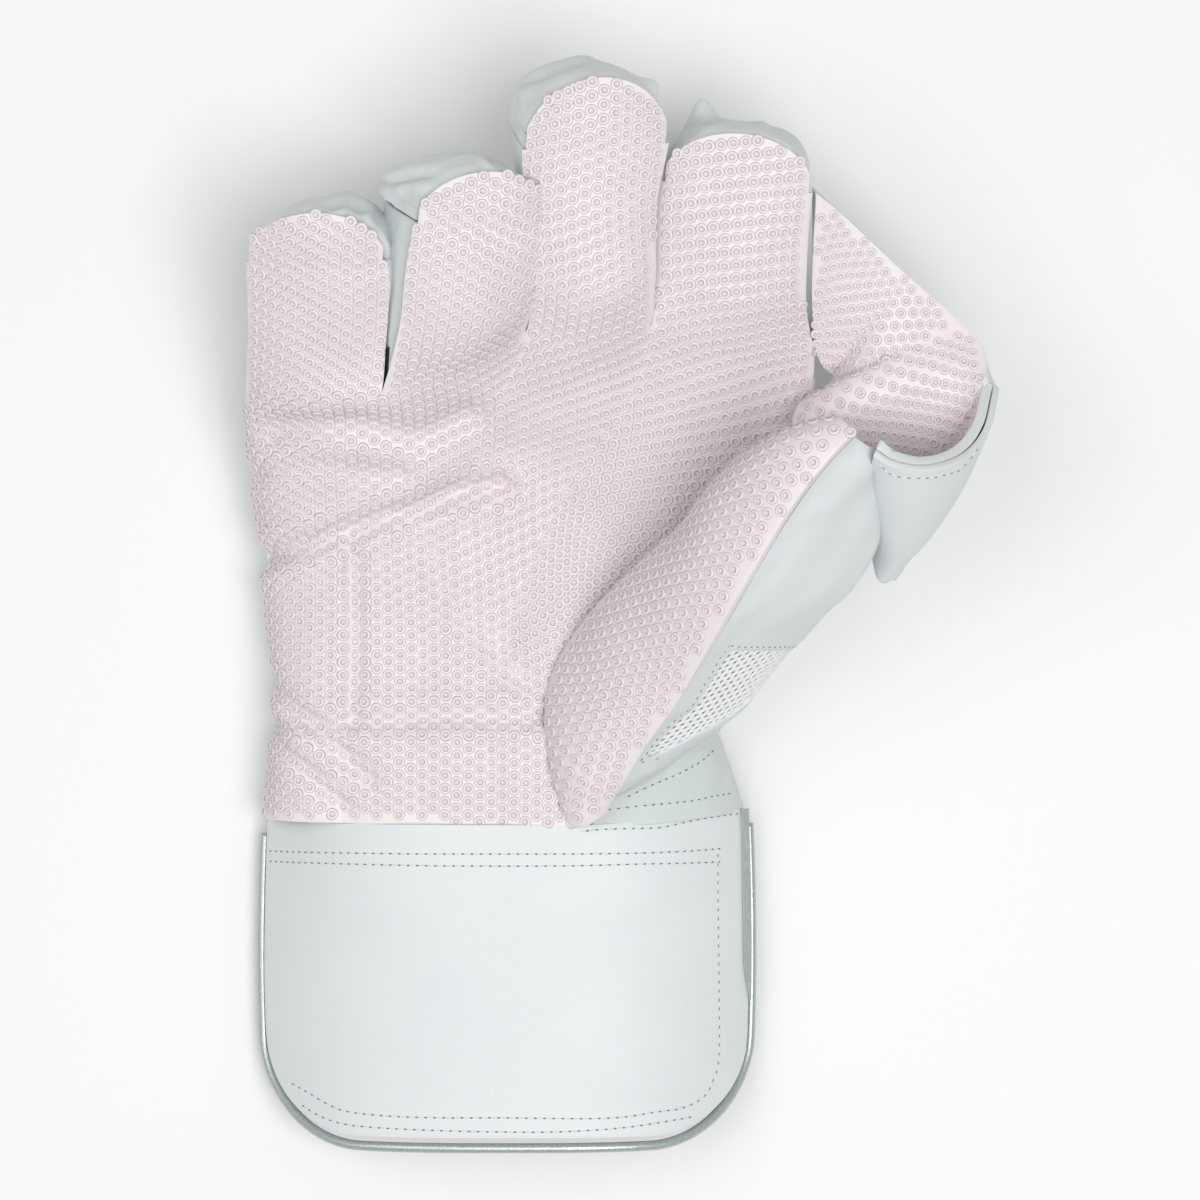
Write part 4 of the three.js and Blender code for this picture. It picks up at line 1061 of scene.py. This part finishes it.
def snap_row(thing, curve, lift):
    tree = BVHTree.FromObject(thing, bpy.context.evaluated_depsgraph_get())
    found = [tree.find_nearest(Vector(p)) for p in (np.asarray(curve) + move) / 1000]
    return [hit + n * lift / 1000 for hit, n, _, _ in found], [n for _, n, _, _ in found]

def sew(name, thing, lines, tree, stitch, pitch=2.25, lift=0.02):
    verts, edges, ups = [], [], []
    for line in lines:
        place = drop_row if len(line[0]) == 2 else snap_row
        places, normals = place(thing, line, lift)
        edges += [(len(verts) + k, len(verts) + k + 1) for k in range(len(places) - 1)]
        verts += places
        ups += normals
    mesh = bpy.data.meshes.new(name + "_row")
    mesh.from_pydata(verts, edges, [])
    layer = mesh.attributes.new("up", "FLOAT_VECTOR", "POINT")
    layer.data.foreach_set("vector", np.array(ups, "f").ravel())
    row = put(name + "_row", mesh)
    made = apply_nodes(row, tree, {"Stitch": stitch, "Pitch": pitch / 1000}, name)
    bpy.data.objects.remove(row)
    made.data.materials.clear()
    made.data.materials.append(thread)
    made.data.materials.append(needle_hole)
    # Each copy's faces come in the order of its shape, the thread's before the hole's
    one = np.empty(len(stitch.data.polygons), "i")
    stitch.data.polygons.foreach_get("material_index", one)
    made.data.polygons.foreach_set("material_index", np.tile(one, len(made.data.polygons) // len(one)))
    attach(made, "root")
    print(name, len(made.data.polygons), "faces")
    return made

def socket_id(tree, name):
    return next(item.identifier for item in tree.interface.items_tree
                if item.item_type == "SOCKET" and item.in_out == "INPUT" and item.name == name)

def apply_nodes(thing, tree, values, name):
    modifier = thing.modifiers.new(tree.name, "NODES")
    modifier.node_group = tree
    for key, value in values.items():
        modifier[socket_id(tree, key)] = value
    graph = bpy.context.evaluated_depsgraph_get()
    graph.update()
    mesh = bpy.data.meshes.new_from_object(thing.evaluated_get(graph), depsgraph=graph)
    mesh.name = name
    thing.modifiers.remove(modifier)
    return put(name, mesh)

# %% [markdown]
# ## Finishes
# One function turns sRGB hex to linear values, and one adds a shader node. Every finish starts
# from its real stuff: moulded rubber, smooth grain leather, knitted polyester, woven satin tape.

# %% Colours and materials
def linear(hex_code):
    values = [int(hex_code[i:i + 2], 16) / 255 for i in (1, 3, 5)]
    return tuple((c / 12.92 if c <= 0.04045 else ((c + 0.055) / 1.055) ** 2.4) for c in values) + (1.0,)

def new_material(name, roughness, specular_ior=1.5):
    made = bpy.data.materials.new(name)
    made.use_nodes = True
    tree = made.node_tree
    shader = tree.nodes["Principled BSDF"]
    shader.inputs["Roughness"].default_value = roughness
    shader.inputs["IOR"].default_value = specular_ior
    return made, tree, shader

def mottled(tree, shader, place, first, second, scale, detail=3.0):
    cloud = add_node(tree, "ShaderNodeTexNoise", None, {"Vector": place, "Scale": scale, "Detail": detail})
    mix = add_node(tree, "ShaderNodeMix", {"data_type": "RGBA"}, {"Factor": cloud.outputs["Fac"]})
    mix.inputs[6].default_value = linear(first)
    mix.inputs[7].default_value = linear(second)
    tree.links.new(mix.outputs[2], shader.inputs["Base Color"])
    return mix

# %% [markdown]
# ## Rubber
# The facing is natural rubber, moulded matt: a pale pink body with a soft, slightly uneven gloss.
# Shade is painted round the rings: a named value on their points darkens the rubber there.

# %% Rubber
def roughen(tree, shader, height, strength, deep=0.0002):
    bump = add_node(tree, "ShaderNodeBump", None, {"Strength": strength, "Distance": deep, "Height": height})
    tree.links.new(bump.outputs[0], shader.inputs["Normal"])

def moulded_rubber():
    # Natural rubber, moulded matt: a pale pink body with a soft, slightly uneven gloss
    made, tree, shader = new_material("moulded_rubber", 0.5, 1.52)
    where = add_node(tree, "ShaderNodeTexCoord").outputs["Object"]
    unshaded_rubber = mottled(tree, shader, where, "#DFD7D8", "#E8E1E2", 60)
    # Painted shade in the craters and round the rings' feet, from a value on the rings' points
    ring_shade = add_node(tree, "ShaderNodeAttribute", {"attribute_name": "ring_shade"})
    shaded_rubber = add_node(tree, "ShaderNodeMix", {"data_type": "RGBA", "blend_type": "MULTIPLY"},
                     {"Factor": ring_shade.outputs["Fac"]})
    tree.links.new(unshaded_rubber.outputs[2], shaded_rubber.inputs[6])
    shaded_rubber.inputs[7].default_value = linear("#C9BBBD")
    tree.links.new(shaded_rubber.outputs[2], shader.inputs["Base Color"])
    grit = add_node(tree, "ShaderNodeTexNoise", None, {"Vector": where, "Scale": 2200, "Detail": 2.0})
    roughen(tree, shader, grit.outputs["Fac"], 0.25, 0.0003)
    return made

# %% [markdown]
# ## Leather
# Chrome-tanned leather has a printed grain of about 0.8 mm cells and a soft polish. The cells are
# a Voronoi pattern in real millimetres, used as a bump, so they keep their size on every piece.

# %% Leather
def grain_leather(name, first, second, roughness=0.5):
    # Chrome-tanned leather with a printed grain of about 0.8 mm cells, softly polished
    made, tree, shader = new_material(name, roughness, 1.5)
    where = add_node(tree, "ShaderNodeTexCoord").outputs["Object"]
    mottled(tree, shader, where, first, second, 35)
    cells = add_node(tree, "ShaderNodeTexVoronoi", {"feature": "DISTANCE_TO_EDGE"},
                     {"Vector": where, "Scale": 1250})
    fine = add_node(tree, "ShaderNodeTexNoise", None, {"Vector": where, "Scale": 900, "Detail": 4.0})
    both = add_node(tree, "ShaderNodeMath", {"operation": "MULTIPLY_ADD"},
                    {0: cells.outputs["Distance"], 1: 0.8, 2: fine.outputs["Fac"]})
    roughen(tree, shader, both.outputs[0], 0.3)
    return made

# %% [markdown]
# ## Lining
# The inner side of each skin is plain-woven cotton, warm white and fully matt. Bands of a wave
# pattern stand for the weave, which is seen only in the cuff's mouth.

# %% Lining
def cotton_lining():
    # Plain-woven cotton, warm white and fully matt
    made, tree, shader = new_material("cotton_lining", 0.9, 1.45)
    where = add_node(tree, "ShaderNodeTexCoord").outputs["Object"]
    mottled(tree, shader, where, "#CFCDC6", "#DAD8D2", 300)
    weave = add_node(tree, "ShaderNodeTexWave", {"wave_type": "BANDS"},
                     {"Vector": where, "Scale": 400, "Distortion": 1.0})
    roughen(tree, shader, weave.outputs["Fac"], 0.3)
    return made

# %% [markdown]
# ## Mesh yarn
# The net is knitted of white polyester yarn about 0.3 mm thick, matt, with a fine ribbed bump.

# %% Mesh yarn
def knitted_mesh():
    # Knitted polyester spacer mesh, white yarn of about 0.3 mm
    made, tree, shader = new_material("knitted_polyester", 0.75, 1.5)
    where = add_node(tree, "ShaderNodeTexCoord").outputs["Object"]
    mottled(tree, shader, where, "#F2F4F4", "#FAFBFB", 200)
    yarn = add_node(tree, "ShaderNodeTexWave", {"wave_type": "BANDS"},
                     {"Vector": where, "Scale": 900, "Distortion": 2.0})
    roughen(tree, shader, yarn.outputs["Fac"], 0.4)
    return made

# %% [markdown]
# ## Satin
# The piping is coated satin tape over a cord, with bright silver-grey threads of about 0.4 mm
# across the bead. They follow the tube's own UV map. The flat tape is the same stuff, duller.

# %% Satin
def satin_piping():
    # Coated satin tape over a cord: bright silver-grey threads of about 0.4 mm across the bead
    made, tree, shader = new_material("silver_satin", 0.32, 1.5)
    shader.inputs["Metallic"].default_value = 0.55
    uv = add_node(tree, "ShaderNodeUVMap", {"uv_map": "flat"}).outputs[0]
    threads = add_node(tree, "ShaderNodeTexNoise", None, {"Vector": uv, "Scale": 500, "Detail": 3.0})
    ramp = add_node(tree, "ShaderNodeMix", {"data_type": "RGBA"}, {"Factor": threads.outputs["Fac"]})
    ramp.inputs[6].default_value = linear("#8F9C9A")
    ramp.inputs[7].default_value = linear("#D5DDDB")
    tree.links.new(ramp.outputs[2], shader.inputs["Base Color"])
    roughen(tree, shader, threads.outputs["Fac"], 0.35)
    return made

def satin_tape():
    # The same satin lying flat, duller than on the bead
    made, tree, shader = new_material("silver_tape", 0.5, 1.5)
    shader.inputs["Metallic"].default_value = 0.3
    where = add_node(tree, "ShaderNodeTexCoord").outputs["Object"]
    mottled(tree, shader, where, "#9AA7A5", "#BAC4C2", 500)
    return made

# %% [markdown]
# ## Thread and needle holes
# The stitches are waxed polyester thread, close to the leather in colour. What shows from afar is
# the shadow in each needle hole, so the hole is a grey mark of its own.

# %% Thread and holes
def waxed_thread():
    # Waxed polyester sewing thread, a shade greyer than the leather
    made, tree, shader = new_material("waxed_thread", 0.55, 1.5)
    where = add_node(tree, "ShaderNodeTexCoord").outputs["Object"]
    mottled(tree, shader, where, "#D3D9DA", "#DFE4E4", 500)
    return made

def dark_hole():
    # The shadow in a needle hole
    made, _, shader = new_material("needle_hole", 0.9, 1.4)
    shader.inputs["Base Color"].default_value = linear("#788484")
    return made

# %% [markdown]
# ## Mesh backing
# Through the net's holes one sees its inner layer, which lies in the net's shade.

# %% Mesh backing
def spacer_back():
    # The net's inner layer, shaded by the net above it
    made, tree, shader = new_material("spacer_back", 0.9, 1.4)
    where = add_node(tree, "ShaderNodeTexCoord").outputs["Object"]
    mottled(tree, shader, where, "#CDD4D4", "#DDE2E2", 400)
    return made

rubber = moulded_rubber()
white_leather = grain_leather("grain_leather", "#D0D6D7", "#DADFE0")
green_leather = grain_leather("green_leather", "#0F2B28", "#173A35", 0.5)
suede = grain_leather("suede_leather", "#C3CACA", "#D2D8D8", 0.8)
lining = cotton_lining()
polyester = knitted_mesh()
satin = satin_piping()
tape = satin_tape()
thread = waxed_thread()
needle_hole = dark_hole()
spacer = spacer_back()
print(len(bpy.data.materials), "materials")

# %% [markdown]
# ## Laying the rings
# Each piece of rubber has a lattice of its own: straight on the palm, turned on the thumb and the
# web. The palm's rings are laid as two pieces, the hand's and the fingers', to keep each mesh
# light.

# %% Rings in place
def ring_skin(name, sheet, height, trim=False):
    # A ring stands clear of the cut edge, so the outermost quads are left out
    rim = {n for e in sheet.border() for n in e} if trim else set()
    quads = [q for q in sheet.quads if not rim.intersection(int(n) for n in q)]
    return new_object(name, sheet.points + sheet.normals() * height, quads, sheet.flat)

def lay_rings(name, sheet, height, tree, ring, spacing, turn=0.0, share=(0, 1)):
    skin = ring_skin(name + "_skin", sheet, height, True)
    low, high = sheet.flat.min(0), sheet.flat.max(0)
    mesh = bpy.data.meshes.new(name + "_lattice")
    places = lattice_points(low, high, spacing[0], turn)
    mesh.from_pydata([p for p in places if share[0] <= p[1] < share[1]], [], [])
    carrier = put(name + "_lattice", mesh)
    values = {"Skin": skin, "Ring": ring, "Size": spacing[1], "Rubber": rubber}
    made = apply_nodes(carrier, tree, values, name)
    for spare in (skin, carrier):
        bpy.data.objects.remove(spare)
    print(name, len(mesh.vertices), "places,", len(made.data.polygons), "faces")
    return made

tree = ring_tree()
ring = ring_mesh()
palm_rings = lay_rings("palm_rings", palm, 0, tree, ring, RING["palm"], share=(0, 0.5))
finger_rings = lay_rings("finger_rings", palm, 0, tree, ring, RING["palm"], share=(0.5, 1))
thumb_rings = lay_rings("thumb_rings", thumb, FACING, tree, ring, RING["thumb"], math.radians(12))
web_rings = lay_rings("web_rings", web, WEB_FACING, tree, ring, RING["web"], math.radians(20))
bpy.data.objects.remove(ring)

# %% [markdown]
# ## Laying the net
# The net lies just over its backing. Solidify gives the yarn its thickness, which is simpler than
# building a wall round every hole.

# %% The net over its backing
skin = ring_skin("net_skin", air, -0.9)
carrier = put("net_flat", net_mesh(air.flat.min(0), air.flat.max(0)))
thumb_net = apply_nodes(carrier, net_tree(), {"Skin": skin, "Yarn": polyester}, "thumb_net")
for spare in (skin, carrier):
    bpy.data.objects.remove(spare)
thick = thumb_net.modifiers.new("yarn thickness", "SOLIDIFY")
thick.thickness = 0.0004
thick.offset = 0
tell(thumb_net)

# %% [markdown]
# ## Rows of stitches
# The rows run where the glove has them: along the cuff's top and round its other sides, under
# the web's rim, round the mesh and on the wrist's gusset. Each is a short list of points on the
# piece, smoothed before it is sewn.

# %% Seams
CUFF_SEAMS = [
    [[-0.4539, -0.2364], [-0.3353, -0.2338], [-0.1999, -0.2332], [-0.0533, -0.2332], [0.0535, -0.2333],
     [0.1213, -0.233], [0.157, -0.2325]],
    [[-0.4539, -0.2458], [-0.3353, -0.2439], [-0.1999, -0.2442], [-0.0533, -0.2442], [0.0535, -0.2434],
     [0.1213, -0.2442], [0.157, -0.2446]],
    [[-0.0227, -0.2125], [0.0, -0.211], [0.0267, -0.2105], [0.0602, -0.2105], [0.0845, -0.21],
     [0.1076, -0.207], [0.1351, -0.204], [0.1629, -0.202], [0.1826, -0.201]],
    [[0.16, -0.2345], [0.16, -0.2803], [0.1614, -0.3551], [0.1615, -0.4245], [0.1545, -0.4464],
     [0.1421, -0.4615], [0.1146, -0.471], [0.0752, -0.4738], [0.0107, -0.4776], [-0.1215, -0.4766],
     [-0.2609, -0.4765], [-0.336, -0.474], [-0.3639, -0.4688], [-0.3893, -0.461], [-0.4123, -0.4541]],
    [[-0.4066, -0.4706], [-0.378, -0.4799], [-0.336, -0.4861], [-0.2407, -0.4882], [-0.1336, -0.4896],
     [-0.0628, -0.4897], [0.0268, -0.4871], [0.116, -0.4813]],
]
WEB_SEAM = [[[0.352, 0.116], [0.36, 0.1107], [0.3717, 0.1073], [0.3898, 0.1057], [0.4173, 0.1059],
             [0.4362, 0.1089], [0.4485, 0.1108], [0.463, 0.118], [0.475, 0.128]]]
# Beside the window, along its top and below it
window_left = pad_points[14:46, 8]
window_top = pad_points[46, 8:34]
window_low = pad_points[14, 8:32]
PAD_SEAMS = [window_left + [0, 0, 0.4], window_top + [0, 0, 0.4], window_low + [0, 0, 0.4]]
GUSSET_SEAMS = [
    [[0.0067, -0.193], [0.0401, -0.1906], [0.0804, -0.1884], [0.1212, -0.1866], [0.1489, -0.1837],
     [0.172, -0.182]],
    [[0.0334, -0.1821], [0.0669, -0.1715], [0.1077, -0.1605], [0.1353, -0.151], [0.1500, -0.1434]],
]
stitch = stitch_mesh()
rows = stitch_tree()
sew("cuff_stitches", cuff_front, CUFF_SEAMS, rows, stitch)
sew("web_stitches", web_back, WEB_SEAM, rows, stitch)
sew("thumb_stitches", thumb_pad, PAD_SEAMS, rows, stitch)
sew("gusset_stitches", wrist_gusset, GUSSET_SEAMS, rows, stitch)
bpy.data.objects.remove(stitch)

# %% [markdown]
# ## Dressing the solids
# Each fine surface takes the place of a solid and rides on the one body. Its first material is
# the outside and its second the inside, and the web's third is its cut edge. The cuff's panels
# are padded, and the size of the mesh's flat cut is worked out from its flat pattern and area.

# %% Dress, and size the mesh's cut
def dress(thing, outer, slot, *nodes, inner=None):
    thing.data.materials.append(outer)
    thing.data.materials.append(inner or lining)
    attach(thing, "root")
    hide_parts(*nodes)

dress(palm_facing, rubber, "rubber_facing", "palm_facing")
dress(thumb_facing, rubber, "rubber_facing", "thumb_facing")
dress(web_facing, rubber, "rubber_facing", "web_facing", inner=rubber)
web_facing.data.materials.append(white_leather)
dress(web_back, white_leather, "white_leather", "web_back", inner=white_leather)
for node, thing in finger_leather.items():
    dress(thing, white_leather, "white_leather", node)
dress(knuckle_band, green_leather, "green_leather", "knuckle_band")
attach(root_gusset, "root")
root_gusset.data.materials.append(green_leather)
root_gusset.data.materials.append(green_leather)
dress(hand_back, white_leather, "white_leather", "hand_back")
dress(thumb_pad, white_leather, "white_leather", "thumb_pad")
dress(thumb_under, white_leather, "white_leather", "thumb_under")
for thing in (thumb_root, knuckle_side, side_seam):
    thing.data.materials.append(white_leather)
    thing.data.materials.append(white_leather)
    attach(thing, "root")
dress(thumb_mesh, spacer, "air_mesh", "thumb_mesh", inner=polyester)
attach(thumb_net, "root")
dress(cuff_front, white_leather, "white_leather", "cuff_front")
dress(cuff_back, white_leather, "white_leather", "cuff_back", inner=white_leather)
dress(wrist_gusset, suede, "white_leather", "wrist_gusset")
dress(piping_front, satin, "silver_piping", "cuff_piping_front")
dress(piping_back, satin, "silver_piping", "cuff_piping_back")
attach(piping_tape, "root")
piping_tape.data.materials.clear()
piping_tape.data.materials.append(tape)
piping_tape.data.materials.append(tape)
for thing in (palm_rings, finger_rings, thumb_rings, web_rings):
    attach(thing, "root")

# The mesh is the one piece of cloth: cut flat, then stretched behind its window
quads = np.array(air.quads)
corners = air.points[quads] / 1000
diagonals = np.cross(corners[:, 2] - corners[:, 0], corners[:, 3] - corners[:, 1])
area = 0.5 * np.linalg.norm(diagonals, axis=1).sum()
cut = np.ptp(air.flat[quads.ravel()], axis=0) / 1000
cut *= math.sqrt(max(1, area / cut.prod() * 1.001))
print("mesh cut to", np.round(cut * 1000, 1), "mm, area", round(area * 1e6), "mm2")

# %% [markdown]
# ## Floor, light and camera
# The glove lies on a pale floor under a large soft light from the thumb's side and the cuff, and
# a weaker one from the other side. The camera looks straight down, as the photograph does.

# %% Stage
floor_mesh = bpy.data.meshes.new("floor")
floor_mesh.from_pydata([(-3, -3, 0), (3, -3, 0), (3, 3, 0), (-3, 3, 0)], [], [(0, 1, 2, 3)])
floor = put("floor", floor_mesh)
paper, tree, shader = new_material("pale_paper", 0.9)
shader.inputs["Base Color"].default_value = linear("#EDEDED")
floor.data.materials.append(paper)

LIGHTS = {
    # where it hangs in metres, how wide it is and its power in watts
    "key": ((0.32, -0.2, 1.3), 0.7, 10.8),
    "fill": ((-0.6, 0.1, 1.15), 0.9, 4.9),
}
EYE_HEIGHT, FRAME_AT, FRAME_SIDE, SENSOR = 975.0, 950, 300, 36

def area_light(name, place, size, power):
    light = bpy.data.lights.new(name, "AREA")
    light.size = size
    light.energy = power
    thing = put(name, light)
    thing.location = place
    thing.rotation_euler = (Vector((0, 0, 0.03)) - Vector(place)).to_track_quat("-Z", "Y").to_euler()

for name, (place, size, power) in LIGHTS.items():
    area_light(name, place, size, power)
world = bpy.data.worlds.new("studio")
world.use_nodes = True
world.node_tree.nodes["Background"].inputs["Color"].default_value = (1, 1, 1, 1)
world.node_tree.nodes["Background"].inputs["Strength"].default_value = 0.385
bpy.context.scene.world = world
bpy.context.scene.view_settings.view_transform = "Standard"

lens = bpy.data.cameras.new("camera")
lens.sensor_width = SENSOR
lens.lens = SENSOR * FRAME_AT / FRAME_SIDE
eye = put("camera", lens)
eye.location = tuple(np.array([move[0], move[1], EYE_HEIGHT]) / 1000)
print("camera at", tuple(eye.location))
bpy.context.scene.camera = eye
